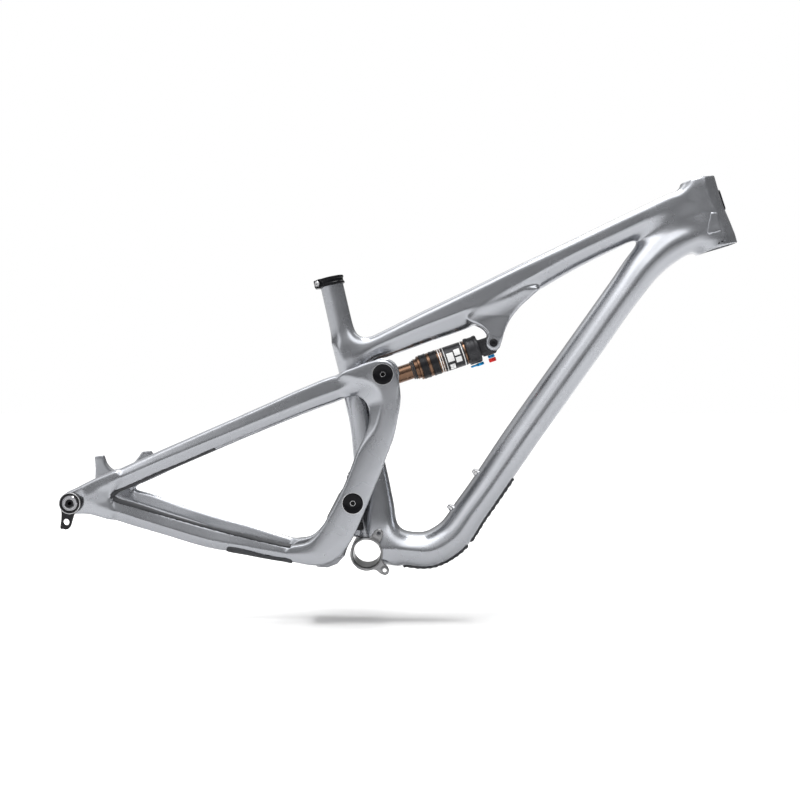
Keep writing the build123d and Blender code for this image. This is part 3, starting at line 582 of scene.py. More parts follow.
# (x, z, y, depth, width, crease, left tilt, right tilt)
TOP_TUBE = (
    (446, 582, 0, 43, 42, 0.1, 4, 4),
    (410, 567, 0, 44, 45, 0.1, 10, 4),
    (370, 545.5, 0, 40, 47, 0.1, 22, 4),
    (325, 518, 0, 40.5, 47, 0.1, 30, 4),
    (260, 477, 0, 42, 47, 0.05, 34, 4),
    (185, 427, 0, 50, 46, 0.1, 34, 4),
    (116, 381.5, 0, 54, 45, 0.05, 32, 6),
    (47, 344, 0, 46, 41, -0.05, 26, 10),
    (0, 318, 0, 40, 34, -0.1, 20, 12),
    (-58, 288, 0, 30, 24, 0, 12, 12),
)
DOWN_TUBE = (
    (466, 548, 0, 52, 42, 0.2, 4, 8),
    (438, 535, 0, 62, 52, 0.2, 5, 12),
    (411, 519, 0, 64, 58, 0.15, 6, 18),
    (375, 480, 0, 56, 62, 0.1, 7, 24),
    (345, 431, 0, 51, 64, 0.1, 7, 26),
    (302, 354.5, 0, 51, 65, 0.1, 7, 27),
    (258, 276.5, 0, 51, 66, 0.1, 7, 27),
    (215, 200, 0, 51, 67, 0.1, 7, 27),
    (150, 80, 0, 50, 71, 0.05, 7, 25),
    (122, 33.5, 0, 52, 74, 0.0, 7, 23),
    (92, 13.5, 0, 52, 77, -0.05, 7, 24),
    (60, 10.5, 0, 49, 78, -0.1, 8, 26),
    (12, 8, 0, 40, 70, -0.1, 8, 24),
)
EAR_OUTLINE = (
    (116, 364), (131, 357), (141, 352), (147, 344), *arc(SHOCK_FRONT, 11.6, (165, 215, 265, 315, 3)),
    (170.5, 350), (177, 369), (189, 389), (206, 410), (214, 421), (200, 418), (176, 404), (150, 389),
    (128, 376),
)


def ear(side):
    """Ear for the shock's front bolt, thinner where it runs into the top tube."""
    points = closed_curve(EAR_OUTLINE)

    def distance(x, y, z):
        outer = np.interp(z, (343, 374), (22.8, 19.0)).astype(np.float32)
        return meet(outline_distance(points, x, z), np.maximum(y * side - outer, 14.0 - y * side), 3)

    low, high = sorted((side * 8.0, side * 30.0))
    return distance, (108, low, 314), (222, high, 430)


SKIN_STEP = 1.7
front = Block((-135, -50, -32), (522, 50, 632), SKIN_STEP)
front.add(lean_bar(HEAD_BOTTOM, HEAD_RUN, HEAD_RINGS, edge=1.5))
front.add(tube(TOP_TUBE, 11), blend=20)
front.add(tube(DOWN_TUBE, 20), blend=16)
front.add(oval_tube(SEAT_TUBE), blend=30)
for side in (-1, 1):
    front.add(ear(side), blend=14)
front_solid = front.around((40, -50, -32), (230, 50, 160))
head_solid = front.around((436, -44, 500), (516, 44, 628))
front.add(cross_bar(LINK_PIVOT, 16.0, -19.3, 19.3, edge=1.5), blend=4)
front.cut(lean_box(LOWER_PIVOT, RAIL_LEAN, (24.6, 110, 108), edge=1.5), blend=1)
front.add(lean_box((-18.5, 38.0), RAIL_LEAN, (15, 14, 36), edge=2), blend=3)
front_skin = skin(front, "front_skin", paint, "front_triangle",
                  ("head_tube", "top_tube", "shock_mount", "down_tube", "seat_tube"))
in_head = (-HEAD_RUN[0], -HEAD_RUN[1])
bore(front_skin, [
    turned(in_plane(HEAD_BOTTOM), in_plane(HEAD_RUN),
           ((28, -5), (28, HEADSET_DEPTH), (20, HEADSET_DEPTH), (20, 60))),
    turned(in_plane(HEAD_TOP), in_plane(in_head),
           ((22, -5), (22, HEADSET_DEPTH), (20.05, HEADSET_DEPTH), (20.05, 60))),
    turned(in_plane(SEAT_TOP), in_plane(SEAT_RUN), ((SEATPOST_R, -5), (SEATPOST_R, SEATPOST_DEPTH))),
    turned((0, 0, 0), (0, 1, 0), ((SHELL_R - 0.2, -60), (SHELL_R - 0.2, 60))),
    turned(in_plane(LINK_PIVOT), (0, 1, 0), ((7, -30), (7, 30))),
    turned(in_plane(SHOCK_FRONT), (0, 1, 0), ((4, -30), (4, 30))),
])

# ---- Swingarm ----
UPRIGHT_OUTLINE = (
    (-112, 0), (-100, 3), (-85, 12), (-72, 30), (-62, 52), (-44, 98), (-30, 150), (-17.5, 190), (-17, 208),
    (-25, 226),
    (-40, 233.5), (-60, 230), (-64, 264), (-48, 273), (-32, 281.5), *arc(UPPER_PIVOT, 22.5, (105, 55, 5)),
    (21.5, 233), (23.5, 197), (15, 150), (-1, 92), (-14, 48), (-26, 15), (-46, -13), (-75, -24),
    (-104, -20), (-116, -16),
)
REAR_EDGE = (
    (-102, 2), (-85, 12), (-72, 30), (-62, 52), (-44, 98), (-30, 150), (-17, 196), (-24, 226), (-48, 233),
)
FACET_HEIGHTS, FACET_WIDTHS = (-30, 146, 170, 190, 226, 260), (3.0, 3.0, 7.0, 12.0, 20.0, 26.0)
SEATSTAY = (
    (-36, 259, 47, 24, 12, 0.3, 12, 6),
    (-62, 245.5, 47.5, 34.5, 19, 0.3, 24, 6),
    (-113, 219.5, 50.5, 35, 20, 0.3, 26, 6),
    (-163, 191.5, 53.5, 33, 19, 0.2, 26, 8),
    (-214, 163, 57, 32, 18.5, 0.1, 26, 12),
    (-265, 134.3, 62, 31.5, 18.2, 0, 24, 16),
    (-315, 106, 68, 31, 18, -0.1, 22, 20),
    (-383, 66, 77, 28, 17.5, -0.15, 20, 22),
    (-412, 50, 78, 18, 13, 0, 14, 14),
)
CHAINSTAY = (
    (-84, -6, 47, 17, 12, 0.1, 8, 8),
    (-112, -9.5, 47.8, 21.5, 19.5, 0.1, 12, 12),
    (-146, -7, 50, 24.5, 19.5, 0.15, 20, 16),
    (-183, -2.5, 53, 27, 19, 0.2, 24, 18),
    (-220, 0.5, 56.5, 30.5, 18.5, 0.2, 24, 20),
    (-295, 14.5, 66, 30.5, 18, 0.2, 24, 20),
    (-383, 33.5, 77, 29, 17.5, 0.15, 22, 14),
    (-412, 38, 78, 20, 13, 0, 14, 14),
)
DROPOUT = (
    (-372, 86), (-371, 70), (-378, 58), (-381, 48), (-377, 38), (-372, 27), (-374, 17.5), (-388, 18.5),
    (-402, 20.5), *arc(REAR_AXLE, 17.0, (-65, -110, -155, 160, 122)), (-431, 56), (-417, 65), (-396, 77),
)
BRIDGE = ((-63, 50), (-55, 47), (-43.5, 82), (-49.5, 85))
YOKE = ((-72, -27), (-56, -27), (-42, -20), (-32, -6), (-32, 10), (-40, 12), (-46, -4), (-62, -14))


def raised(stations, rise):
    """Stations lifted in the middle of the run."""
    start, end = stations[0][0], stations[-1][0]
    return [(x, z + rise * math.sin(math.pi * (x - start) / (end - start)), *rest)
            for x, z, *rest in stations]


def upright(side):
    """Outer plate of the swingarm, with a bright facet along its rear edge that widens towards the top."""
    points = closed_curve(UPRIGHT_OUTLINE, softening=6)
    rear = smooth_rows(REAR_EDGE, 4.0)
    facet = math.radians(32)

    def distance(x, y, z):
        across = y * side
        inside = outline_distance(points, x, z)
        crown = 1.6 * np.clip(1 + inside / 20, 0, 1) ** 2
        body = meet(inside, np.maximum(across - ARM_OUTER + crown, ARM_INNER - across), 3.0)
        gap = np.abs(nearest(rear, x, z)[1])
        width = np.interp(z, FACET_HEIGHTS, FACET_WIDTHS)
        slope = (across - ARM_OUTER) * math.cos(facet) + (width - gap) * math.sin(facet)
        return meet(body, slope, 2.0)

    low, high = sorted((side * 28.0, side * 64.0))
    return distance, (-130, low, -34), (34, high, 300)


arm = Block((-462, -94, -40), (34, 94, 302), SKIN_STEP)
for side in (-1, 1):
    rise = 5.0 if side > 0 else 0.0
    arm.add(upright(side))
    for stations in (SEATSTAY, raised(CHAINSTAY, rise)):
        arm.add(tube(stations, 5.5, side), blend=10)
    low, high = sorted((side * 69.0, side * 86.0))
    arm.add(plate(closed_curve(DROPOUT, softening=2), low, high, edge=5), blend=9)
arm.add(plate(BRIDGE, -40, 40, edge=4), blend=6)
arm.add(plate(YOKE, -40, 40, edge=6), blend=8)

# brake caliper posts on the left
POST_SLOPE, POST_START, POST_SPACING, POST_MIDDLE = 11.6, (-433.0, 97.0), 74.2, 62.0
POST_CORNERS = ((-9.5, -40), (-7.0, -18), (-6.6, 0), (6.6, 0), (9.5, -12))
POST_VALLEY = (
    (9.5, -12), (14, -19), (20, -24), (27, -26.5), (35, -26.5), (43, -23), (50, -18), (56, -13), (62, -7),
    (67.6, 0),
)
POST_FOOT = ((80.8, 0), (86, -12), (90, -26), (60, -42), (30, -50), (8, -56))
slope = math.radians(POST_SLOPE)
post_side = (*POST_CORNERS[:-1], *smooth_rows(POST_VALLEY, 3.0), *POST_FOOT)
post_points = [(POST_START[0] + u * math.cos(slope) - v * math.sin(slope),
                POST_START[1] + u * math.sin(slope) + v * math.cos(slope)) for u, v in post_side]
arm.add(plate(post_points, POST_MIDDLE - 7.5, POST_MIDDLE + 7.5, edge=1.6), blend=4)
arm_solid = arm.around((-462, -94, -40), (-60, 0, 302))
for spot in (0, POST_SPACING):
    top = turn(POST_SLOPE, spot, POST_START)
    hole, low, high = lean_bar(top, (math.sin(slope), -math.cos(slope)), ((-1, 3.2), (18, 3.2)), edge=0.3)
    arm.cut((lambda x, y, z, hole=hole: hole(x, y - POST_MIDDLE, z), (low[0], POST_MIDDLE - 12, low[2]),
             (high[0], POST_MIDDLE + 12, high[2])), blend=0.8)

arm.cut(cross_bar(REAR_AXLE, 23.0, -74, 74, edge=2), blend=2)

# moulded cable ports: a raised lip at the mouth of each
arm.add(ridge(((-375, -85.2, 46), (-379, -85.8, 41), (-381, -85.2, 35)), 1.1), blend=1.5)
arm.add(ridge(((-266, 62, 32), (-268, 71, 30), (-270, 74, 24)), 1.6), blend=2)
arm_skin = skin(arm, "swingarm_skin", paint, "swingarm", (
    "left_upright", "right_upright", "left_seatstay", "right_seatstay", "left_chainstay", "right_chainstay",
    "left_dropout", "right_dropout", "swingarm_bridge", "lower_yoke", "brake_post_mount"))
BEARING_SEAT = ((11, ARM_INNER - 4), (11, ARM_INNER + 4), (16, ARM_INNER + 4), (16, 64))
seats = [turned(*spot, BEARING_SEAT) for spot in both_sides(UPPER_PIVOT) + both_sides(LOWER_PIVOT)]
bore(arm_skin, seats + [turned(*at(REAR_AXLE, 1), ((6, -100), (6, 100)))])

# ---- Upper link ----
LINK_OUTLINE = (
    *arc(LINK_PIVOT, 15, (175, 220, 265, 310, -5)), (25, 205), (26, 235),
    *arc(UPPER_PIVOT, 25, (-10, 22, 55, 88, 120)), (-27, 268), (-27, 248), (-18, 205),
)
LINK_INNER, LINK_OUTER = 20.0, 31.0
shock_eye = turn(SHOCK_TILT, -SHOCK_LENGTH, SHOCK_FRONT)
link = Block((-40, -38, 138), (36, 38, 302), 1.2)
link.add(plate(closed_curve(LINK_OUTLINE, 3.0), -LINK_OUTER, LINK_OUTER, edge=3))
for rear, low, fore, high in ((-70, 222, 70, 420), (-110, 135, 7, 265), (-70, 131, 70, 189)):
    opening = ((rear, low), (fore, low), (fore, high), (rear, high))
    link.cut(plate(opening, -LINK_INNER, LINK_INNER, edge=8), blend=2)
for centre, radius in ((LINK_PIVOT, 11.0), (UPPER_PIVOT, 7.0), (shock_eye, 4.0)):
    link.cut(cross_bar(centre, radius, -40, 40, edge=0.3), blend=1)
skin(link, "link_skin", paint, "upper_link", ("upper_link",))


# ---- Rubber guards: a layer that follows the skin under it ----
def guard(solid, name, region, thickness, body, replaced, ribs=None, material=rubber):
    """Layer over part of a skin: region is an area of (x, y, z) where it lies."""
    cut, x, y, z = solid.window(*region[1:])
    layer = solid.around(*region[1:])
    depth = thickness + (ribs(x, z) if ribs else 0.0)
    cover = meet(layer.far - depth, -(layer.far + 1.2), 0.4)
    layer.far = meet(cover, region[0](x, y, z), 1.6).astype(np.float32)
    for axis in range(3):
        edge = [slice(None)] * 3
        for end in (0, -1):
            edge[axis] = end
            layer.far[tuple(edge)] = 5.0
    skin(layer, name, material, body, replaced)


def band(outline, half_width, low, high):
    """Area between the middle plane's two sides, near an open outline."""
    line = smooth_rows(outline, 4.0)

    def area(x, y, z):
        place, away, past = nearest(line, x, z)
        beyond = np.abs(y - (low + high) / 2) - (high - low) / 2
        return meet(meet(np.abs(away) - half_width, beyond, 4), past, 4)

    return area, *space_round(line, half_width + 4, low - 3, high + 3)


def rib_pattern(start, run, pitch, depth):
    """Shallow ribs across a run."""
    def height(x, z):
        along = (x - start[0]) * run[0] + (z - start[1]) * run[1]
        return depth * np.clip(3 * np.sin(2 * np.pi * along / pitch), -1, 1)

    return height


UPPER_GUARD = ((208.5, 133), (180, 80), (166, 54), (154, 31))
LOWER_GUARD = ((151, 26), (141, 13), (127, 0.5), (106, -11), (85, -15), (56, -17))
CHAINSTAY_GUARD = ((-206, -11), (-180, -15), (-150, -20), (-108, -23))
SEATSTAY_STRIP = ((-381, 50), (-370, 56), (-345, 70.5), (-315, 88), (-281, 106), (-236, 132.5))
SLAP_STRIP = ((-381, 50), (-372, 45.5), (-346, 40), (-295, 30), (-220, 16), (-146, 5.5), (-112, 2))
GUARD_THICK, STRIP_THICK, RIB_DEPTH = 2.2, 1.5, 0.35

guard(front_solid, "upper_down_tube_guard", band(UPPER_GUARD, 9, -24, 24), GUARD_THICK, "front_triangle",
      ("down_tube_guard_upper",), rib_pattern((208, 131), (0.49, 0.87), 11, RIB_DEPTH))
guard(front_solid, "lower_down_tube_guard", band(LOWER_GUARD, 8, -26, 26), GUARD_THICK, "front_triangle",
      ("down_tube_guard_lower",), rib_pattern((56, -19), (0.87, 0.49), 9, RIB_DEPTH))
guard(arm_solid, "lower_chainstay_guard", band(CHAINSTAY_GUARD, 5, -64, -40), GUARD_THICK, "swingarm",
      ("chainstay_guard",))
guard(arm_solid, "seatstay_strip", band(SEATSTAY_STRIP, 3.4, -86, -44), STRIP_THICK, "swingarm",
      ("seatstay_guard",))
guard(arm_solid, "chain_slap_strip", band(SLAP_STRIP, 3.4, -86, -38), STRIP_THICK, "swingarm",
      ("chain_slap_guard",))

# ---- Bottom bracket shell ----
shell = Block((-30, -50, -36), (52, 50, 52), 0.9)
shell.add(cross_bar((0, 0), SHELL_R, -SHELL_WIDTH / 2, SHELL_WIDTH / 2, edge=1.4))
for angle in (66.0, -36.0):
    hole = turn(angle, 36.0)
    tip = arc(hole, 7.2, range(int(angle) - 90, int(angle) + 91, 45))
    tab = [turn(angle - 90, 10.5), *tip, turn(angle + 90, 10.5)]
    shell.add(plate(tab, -46.0, -39.0, edge=1.2), blend=3.5)
    shell.add(cross_bar(hole, 5.6, -46.5, -38.5, edge=0.6), blend=0.8)
    shell.cut(cross_bar(hole, 3.0, -60, -30, edge=0.3), blend=0.7)
for radius, low, high, blend in ((20.5, -60, 60, 1.0), (21.6, -60, -33, 0.6), (21.6, 33, 60, 0.6)):
    shell.cut(cross_bar((0, 0), radius, low, high, edge=0.3), blend=blend)
skin(shell, "machined_shell", alloy, "front_triangle", ("bottom_bracket_shell",))

# ---- Pivot caps, axle, hanger, clamp and bolts ----
CAP_PROFILE = (
    (7.0, 24.0), (7.0, 56.4), (15.1, 56.4), (15.1, 58.6), (14.7, 59.3), (13.9, 59.5), (13.0, 59.2),
    (11.6, 58.6), (8.0, 58.2), (5.0, 58.1), (3.6, 58.1, 6), (3.5, 57.8, 6), (3.5, 54.0, 6),
)
for centre, name, body, replaced in (
        (UPPER_PIVOT, "upper_caps", "upper_link", "upper_pivot_bolts"),
        (LOWER_PIVOT, "lower_caps", "slider_carriage", "lower_pivot_bolts")):
    lathe(name, gloss_black, body, both_sides(centre), CAP_PROFILE, (replaced,))
    lathe(name + "_hex_rings", steel, body, both_sides(centre),
          ((3.7, 58.0, 6), (4.3, 58.0, 6), (4.3, 58.4, 6), (3.7, 58.4, 6)), closed=True)

lathe("axle_nut", chrome, "swingarm", [at(REAR_AXLE)], (
    (6.1, 86.2), (11.3, 86.2), (11.3, 92.3), (10.4, 93.3), (9.6, 93.3), (9.2, 92.7), (7.4, 92.7), (7.0, 93.2),
    (6.1, 93.0)), ("hanger_bolt",), closed=True)
lathe("through_axle", black, "swingarm", [at(REAR_AXLE, 1)], (
    (3.2, -91.4, 6), (4.2, -91.4), (5.4, -91.4), (6.0, -90.8), (6.0, 86.2), (9.2, 86.2), (9.4, 86.6),
    (9.4, 91.0), (8.8, 91.8), (5.0, 91.8), (4.6, 91.2), (3.2, 91.2, 6)), ("rear_axle",), closed=True)
lathe("hanger_washer", steel, "swingarm", [at(REAR_AXLE)], (
    (14.4, 91.6), (15.4, 91.6), (15.6, 92.0), (15.4, 92.5), (14.6, 92.5), (14.4, 92.2)), closed=True)

HANGER_HOLE = (-437.2, 6.5)
HANGER_OUTLINE = (
    (-446, 28), (-445.3, 16), (-444.8, 8), (-445.2, 0), (-444.2, -5.2), (-441.5, -3.4), (-438, -5.0),
    (-433, -3.0), (-430, 2.0), (-428.8, 9), (-427, 18), (-424, 28),
)
hanger = Block((-454, -96, -12), (-416, -82, 54), 0.7)
hanger.add(plate(closed_curve(HANGER_OUTLINE, 2.0, softening=1), -92, -86, edge=1.2))
hanger.add(cross_bar(REAR_AXLE, 15.7, -92, -86, edge=1.0), blend=2)
hanger.add(cross_bar(HANGER_HOLE, 6.6, -92, -86, edge=0.8), blend=1)
hanger.cut(cross_bar(HANGER_HOLE, 4.6, -100, -80, edge=0.3), blend=0.8)
hanger.cut(cross_bar(REAR_AXLE, 11.5, -100, -80, edge=0.3), blend=0.8)
skin(hanger, "hanger_plate", black, "swingarm", ("derailleur_hanger",))


def seen_from(origin, x_run, z_run):
    """Matrix from a piece's own place to the frame's, in metres."""
    x_run, z_run = Vector(x_run), Vector(z_run)
    turn_to = Matrix((x_run, z_run.cross(x_run), z_run)).transposed().to_4x4()
    return Matrix.Translation(Vector(origin) * MM) @ turn_to


up_seat = (-SEAT_RUN[0], 0, -SEAT_RUN[1])
clamp = Block((-26, -26, -14), (26, 34, 9), 0.8)
clamp_turn = seen_from(in_plane(SEAT_TOP), (0, 1, 0), up_seat)


def upright_bar(x0, y0, radius, low, high, edge=0.8):
    """Round bar along a piece's own z."""
    middle, half = (low + high) / 2, (high - low) / 2
    reach = radius + 6
    return (lambda x, y, z: meet(np.hypot(x - x0, y - y0) - radius, np.abs(z - middle) - half, edge),
            (x0 - reach, y0 - reach, low - 6), (x0 + reach, y0 + reach, high + 6))


def block_box(centre, size, edge=1.0):
    """Box with rounded edges in a piece's own directions."""
    def distance(x, y, z):
        sides = [np.abs(value - centre[i]) - size[i] / 2 for i, value in enumerate((x, y, z))]
        return meet(meet(sides[0], sides[1], edge), sides[2], edge)

    return (distance, tuple(c - w / 2 - 6 for c, w in zip(centre, size)),
            tuple(c + w / 2 + 6 for c, w in zip(centre, size)))


clamp.add(upright_bar(0, 0, 20.2, -9, 4, edge=1.6))
clamp.add(block_box((0, 20, -2.5), (19.5, 11.5, 12.6), edge=2.5), blend=3)
clamp.cut((lambda x, y, z: meet(18.9 - np.hypot(x, y), np.abs(z + 2.5) - 2.6, 1.0) + 0 * z,
           (-26, -26, -8), (26, 14, 4)), blend=1)
clamp.cut(upright_bar(0, 0, 17.4, -20, 0.2, edge=0.3), blend=0.5)
clamp.cut(upright_bar(0, 0, 16.1, -20, 20, edge=0.3), blend=0.8)
clamp.cut(block_box((0, 25, -2.5), (2.4, 20, 30), edge=0.3), blend=0.6)
skin(clamp, "clamp_collar", gloss_black, "front_triangle", ("seat_clamp",), clamp_turn)
clamp_screw_at = tuple((clamp_turn @ Vector((0, 0.021, -0.0025))) / MM)
lathe("clamp_screw", steel, "front_triangle", [(clamp_screw_at, (0, -1, 0))],
      ((2.5, -9), (2.5, 10), (4.0, 10), (4.0, 12.4), (3.5, 13), (2.2, 13), (1.9, 12.8, 6), (1.9, 10.8, 6)),
      ("seat_clamp_bolt",))

BOTTLE_NORMAL = (-0.871, 0, 0.491)
lathe("bottle_screws", steel, "front_triangle",
      [((119.0, 0, 79.0), BOTTLE_NORMAL), ((151.0, 0, 136.0), BOTTLE_NORMAL)],
      ((5.4, -4.8), (5.4, 0.9), (4.9, 1.4), (3.9, 1.6), (3.9, 4.6), (3.3, 5.4), (2.2, 5.4), (2.0, 5.1, 6),
       (2.0, 2.5, 6)), ("bottle_bolts",))
lathe("shock_mount_screws", black, "front_triangle", both_sides(SHOCK_FRONT),
      ((4.0, 1.2), (4.0, 23.0), (6.1, 23.0), (6.1, 25.6), (5.4, 26.4), (3.4, 26.4), (3.0, 26.1, 6),
       (3.0, 23.6, 6)), ("shock_mount_bolts",))


def head_band(start, end, half_width):
    """Area round the front of the head tube, between two distances up its axis."""
    def area(x, y, z):
        along = (x - HEAD_BOTTOM[0]) * HEAD_RUN[0] + (z - HEAD_BOTTOM[1]) * HEAD_RUN[1]
        away = (x - HEAD_BOTTOM[0]) * HEAD_RUN[1] - (z - HEAD_BOTTOM[1]) * HEAD_RUN[0]
        flat = meet(np.abs(along - (start + end) / 2) - (end - start) / 2, np.abs(y) - half_width, 5)
        return meet(flat, 12 - away, 0.5)

    return area, (440, -half_width - 4, 540), (512, half_width + 4, 620)


guard(head_solid, "plain_badge", head_band(53, 85, 9.5), 1.9, "front_triangle", ("head_badge",),
      material=black)
PORT_COVER = np.array(((457.5, 561), (454.5, 531), (458.5, 526), (477, 534), (470, 563)))
for name, low, high, replaced in (
        ("port_cover_right", -40.0, -8.0, ("cable_port_covers",)), ("port_cover_left", 8.0, 40.0, ())):
    guard(head_solid, name, plate(PORT_COVER, low, high, edge=2), 1.3, "front_triangle", replaced,
          material=paint)

lathe("port_plugs", black, "front_triangle", [at((475, 516.2)), at((480, 519))],
      ((1.3, 27.0), (1.3, 30.9), (0.9, 31.1)), segments=24)

# ---- Shock ----
SHOCK_RUN = in_plane(turn(SHOCK_TILT, 1))
eye_spot = (in_plane(shock_eye), SHOCK_RUN)


def ring_piece(name, material, body, radius, thick, start, length, replaced=(), edge=0.4):
    """Ring round the shock's axis, from a distance along it."""
    outer, end = radius + thick, start + length
    profile = (
        (radius, start), (outer - edge, start), (outer, start + edge), (outer, end - edge),
        (outer - edge, end), (radius, end))
    lathe(name, material, body, [eye_spot], profile, replaced, closed=True, segments=128)


lathe("shaft_tube", gold, "shock_shaft", [eye_spot],
      ((11.5, 14.5), (12.5, 15.5), (12.5, 95.0), (11.8, 95.8)), ("shock_shaft",), segments=128)
eyelet = Block((shock_eye[0] - 16, -16, shock_eye[1] - 16), (shock_eye[0] + 30, 16, shock_eye[1] + 26), 0.9)
eyelet.add(cross_bar(shock_eye, 12.9, -12, 12, edge=1.5))
eyelet.add(lean_bar(shock_eye, (SHOCK_RUN[0], SHOCK_RUN[2]), ((2, 13.3), (14.4, 13.3)), edge=1.5), blend=3)
eyelet.cut(cross_bar(shock_eye, 7.1, -20, 20, edge=0.3), blend=1)
skin(eyelet, "rear_eyelet", black, "shock_shaft", ("shock_eyelet",))
ring_piece("wiper_lip", rubber, "shock_body", 12.6, 2.3, 57.6, 2.8, ("wiper_seal",), edge=0.8)
lathe("sag_o_ring", rubber, "shock_body", [eye_spot],
      [(13.35 + 0.78 * math.cos(a), 56.0 + 1.05 * math.sin(a)) for a in np.radians(range(0, 360, 30))],
      ("sag_ring",), closed=True, segments=128)
CAN_PROFILE = (
    (13.0, 60.6), (15.2, 60.6), (15.9, 61.2), (15.9, 62.6), (15.4, 63.0), (15.4, 64.4), (15.9, 64.8),
    (15.9, 65.6), (17.4, 66.0), (18.3, 66.8), (18.3, 69.4), (17.3, 69.9), (17.3, 81.1), (18.3, 81.6),
    (18.3, 85.4), (17.3, 85.9), (17.3, 97.1), (18.3, 97.6), (18.3, 140.4), (17.6, 141.9), (15.0, 141.9),
    (15.0, 66.0), (13.0, 65.6),
)
lathe("air_can", gold, "shock_body", [eye_spot], CAN_PROFILE, ("shock_air_can",), closed=True,
      segments=128)
BAND_PROFILE = (
    (17.35, 0.0), (18.5, 0.0), (18.9, 0.5), (18.9, 2.8), (18.5, 3.2), (18.5, 7.6), (18.9, 8.0), (18.9, 10.3),
    (18.5, 10.8), (17.35, 10.8),
)
lathe("can_band_pair", black, "shock_body",
      [(in_plane(turn(SHOCK_TILT, start, shock_eye)), SHOCK_RUN) for start in (70.1, 86.1)],
      BAND_PROFILE, ("can_bands",), closed=True, segments=128)
ring_piece("label_sleeve", head_black, "shock_body", 18.25, 0.35, 105.0, 34.0, edge=0.1)
for start, width in ((99.5, 1.4), (103.0, 0.9), (107.5, 1.0), (135.5, 1.2)):
    ring_piece(f"label_line_{int(start)}", white_label, "shock_body", 18.25, 0.5, start, width,
               edge=0.1)


shock_turn = seen_from(in_plane(shock_eye), (0, 1, 0), SHOCK_RUN)

# plain patches on the can: (start, end, low, high), two distances along it and two angles round it
PATCHES = ((111, 121, 250, 292), (123, 132, 236, 262), (123, 132, 270, 300), (112, 120, 200, 236))
PATCH_INNER_R, PATCH_OUTER_R = 18.5, 18.75
patches = bmesh.new()
for start, end, low, high in PATCHES:
    rows = [[patches.verts.new((radius * math.sin(angle) * MM, radius * math.cos(angle) * MM, along * MM))
             for along in (start, end) for angle in np.radians(np.linspace(low, high, 9))]
            for radius in (PATCH_OUTER_R, PATCH_INNER_R)]
    for k in range(8):
        for pair, flip in ((rows[0], False), (rows[1], True)):
            quad = (pair[k], pair[k + 1], pair[k + 10], pair[k + 9])
            patches.faces.new(quad[::-1] if flip else quad)
    border = list(range(9)) + list(range(17, 8, -1))
    for a, b in zip(border, border[1:] + border[:1]):
        patches.faces.new((rows[0][a], rows[1][a], rows[1][b], rows[0][b]))
bmesh.ops.recalc_face_normals(patches, faces=patches.faces)
patch_mesh = bpy.data.meshes.new("label_patches")
patches.to_mesh(patch_mesh)
patches.free()
patch_mesh.transform(shock_turn)
place_piece(patch_mesh, "label_patches", white_label, "shock_body", smooth_angle=30)

head = Block((-26, -34, 138), (26, 26, 200), 0.9)
head.add(upright_bar(0, 0, 20.8, 142, 162, edge=2.5))
head.add(block_box((0, 0, 170), (22.5, 23.5, 30), edge=3), blend=3)
head.add((lambda x, y, z: meet(np.hypot(y, z - SHOCK_LENGTH) - 11.9, np.abs(x) - 11.4, 1.2),
          (-20, -20, 165), (20, 20, 204)), blend=3)
head.add(block_box((0, -12.4, 175), (18.6, 5.4, 19.6), edge=1.5), blend=3)
head.cut((lambda x, y, z: meet(np.abs(np.hypot(x, y) - 21.6) - 1.6, np.abs(z - 152) - 4.5, 1.0),
          (-26, -4, 144), (26, 26, 160)), blend=1)
head.cut((lambda x, y, z: np.hypot(y, z - SHOCK_LENGTH) - 8.0 + 0 * x,
          (-26, -14, 170), (26, 14, 200)), blend=0.8)
skin(head, "shock_top", head_black, "shock_body", ("shock_head",), shock_turn)


def shock_point(down, along):
    """3-D point below the shock's line, and along it from the rear eye."""
    return in_plane(turn(SHOCK_TILT - 90, down, turn(SHOCK_TILT, along, shock_eye)))


KNOB_AT, LEVER_AT = 176, 157
DOWN_RUN = (SHOCK_RUN[2], 0, -SHOCK_RUN[0])
lathe("valve_cap", black, "shock_body", [(shock_point(15, 152), (0, 1, 0))],
      ((4.2, 8), (4.2, 20), (4.9, 20.5), (4.9, 29.5), (4.2, 30.8), (2.0, 31.0)), ("air_valve_cap",),
      lobes=18, lobe_depth=0.3)
lathe("low_speed_dial", blue, "low_speed_knob", [(shock_point(15.3, KNOB_AT), DOWN_RUN)],
      ((4.8, 0.1), (5.1, 0.5), (5.1, 4.0), (4.6, 4.7)), ("low_speed_knob",),
      segments=144, lobes=16, lobe_depth=0.5)
lathe("rebound_dial", red, "rebound_knob", [(shock_point(20.4, KNOB_AT), DOWN_RUN)],
      ((5.2, 0.1), (5.6, 0.5), (5.6, 5.0), (4.9, 6.0), (2.6, 6.0), (1.9, 5.6, 6), (1.8, 4.4, 6)),
      ("rebound_knob",), segments=144, lobes=14, lobe_depth=0.45)


def lever_arm(x, y, z):
    """Round-ended arm, 12 long, that leans to one side."""
    along = np.clip(-x, 0, 12)
    return meet(np.hypot(x + along, y + 3.4 * along / 12) - 3.2, np.abs(z - 2.3) - 1.5, 1.0)


lever = Block((-20, -9, -2), (10, 12, 8), 0.6)
lever.add(upright_bar(0, 0, 5.4, 0.1, 4.5, edge=1.0))
lever.add((lever_arm, (-20, -9, -1), (8, 9, 6)), blend=1.5)
lever.cut(upright_bar(0, 0, 1.9, 3.2, 9, edge=0.3), blend=0.5)
lever_turn = seen_from(shock_point(21.3, LEVER_AT), SHOCK_RUN, DOWN_RUN)
skin(lever, "lockout_lever", blue, "compression_lever", ("compression_lever",), lever_turn)

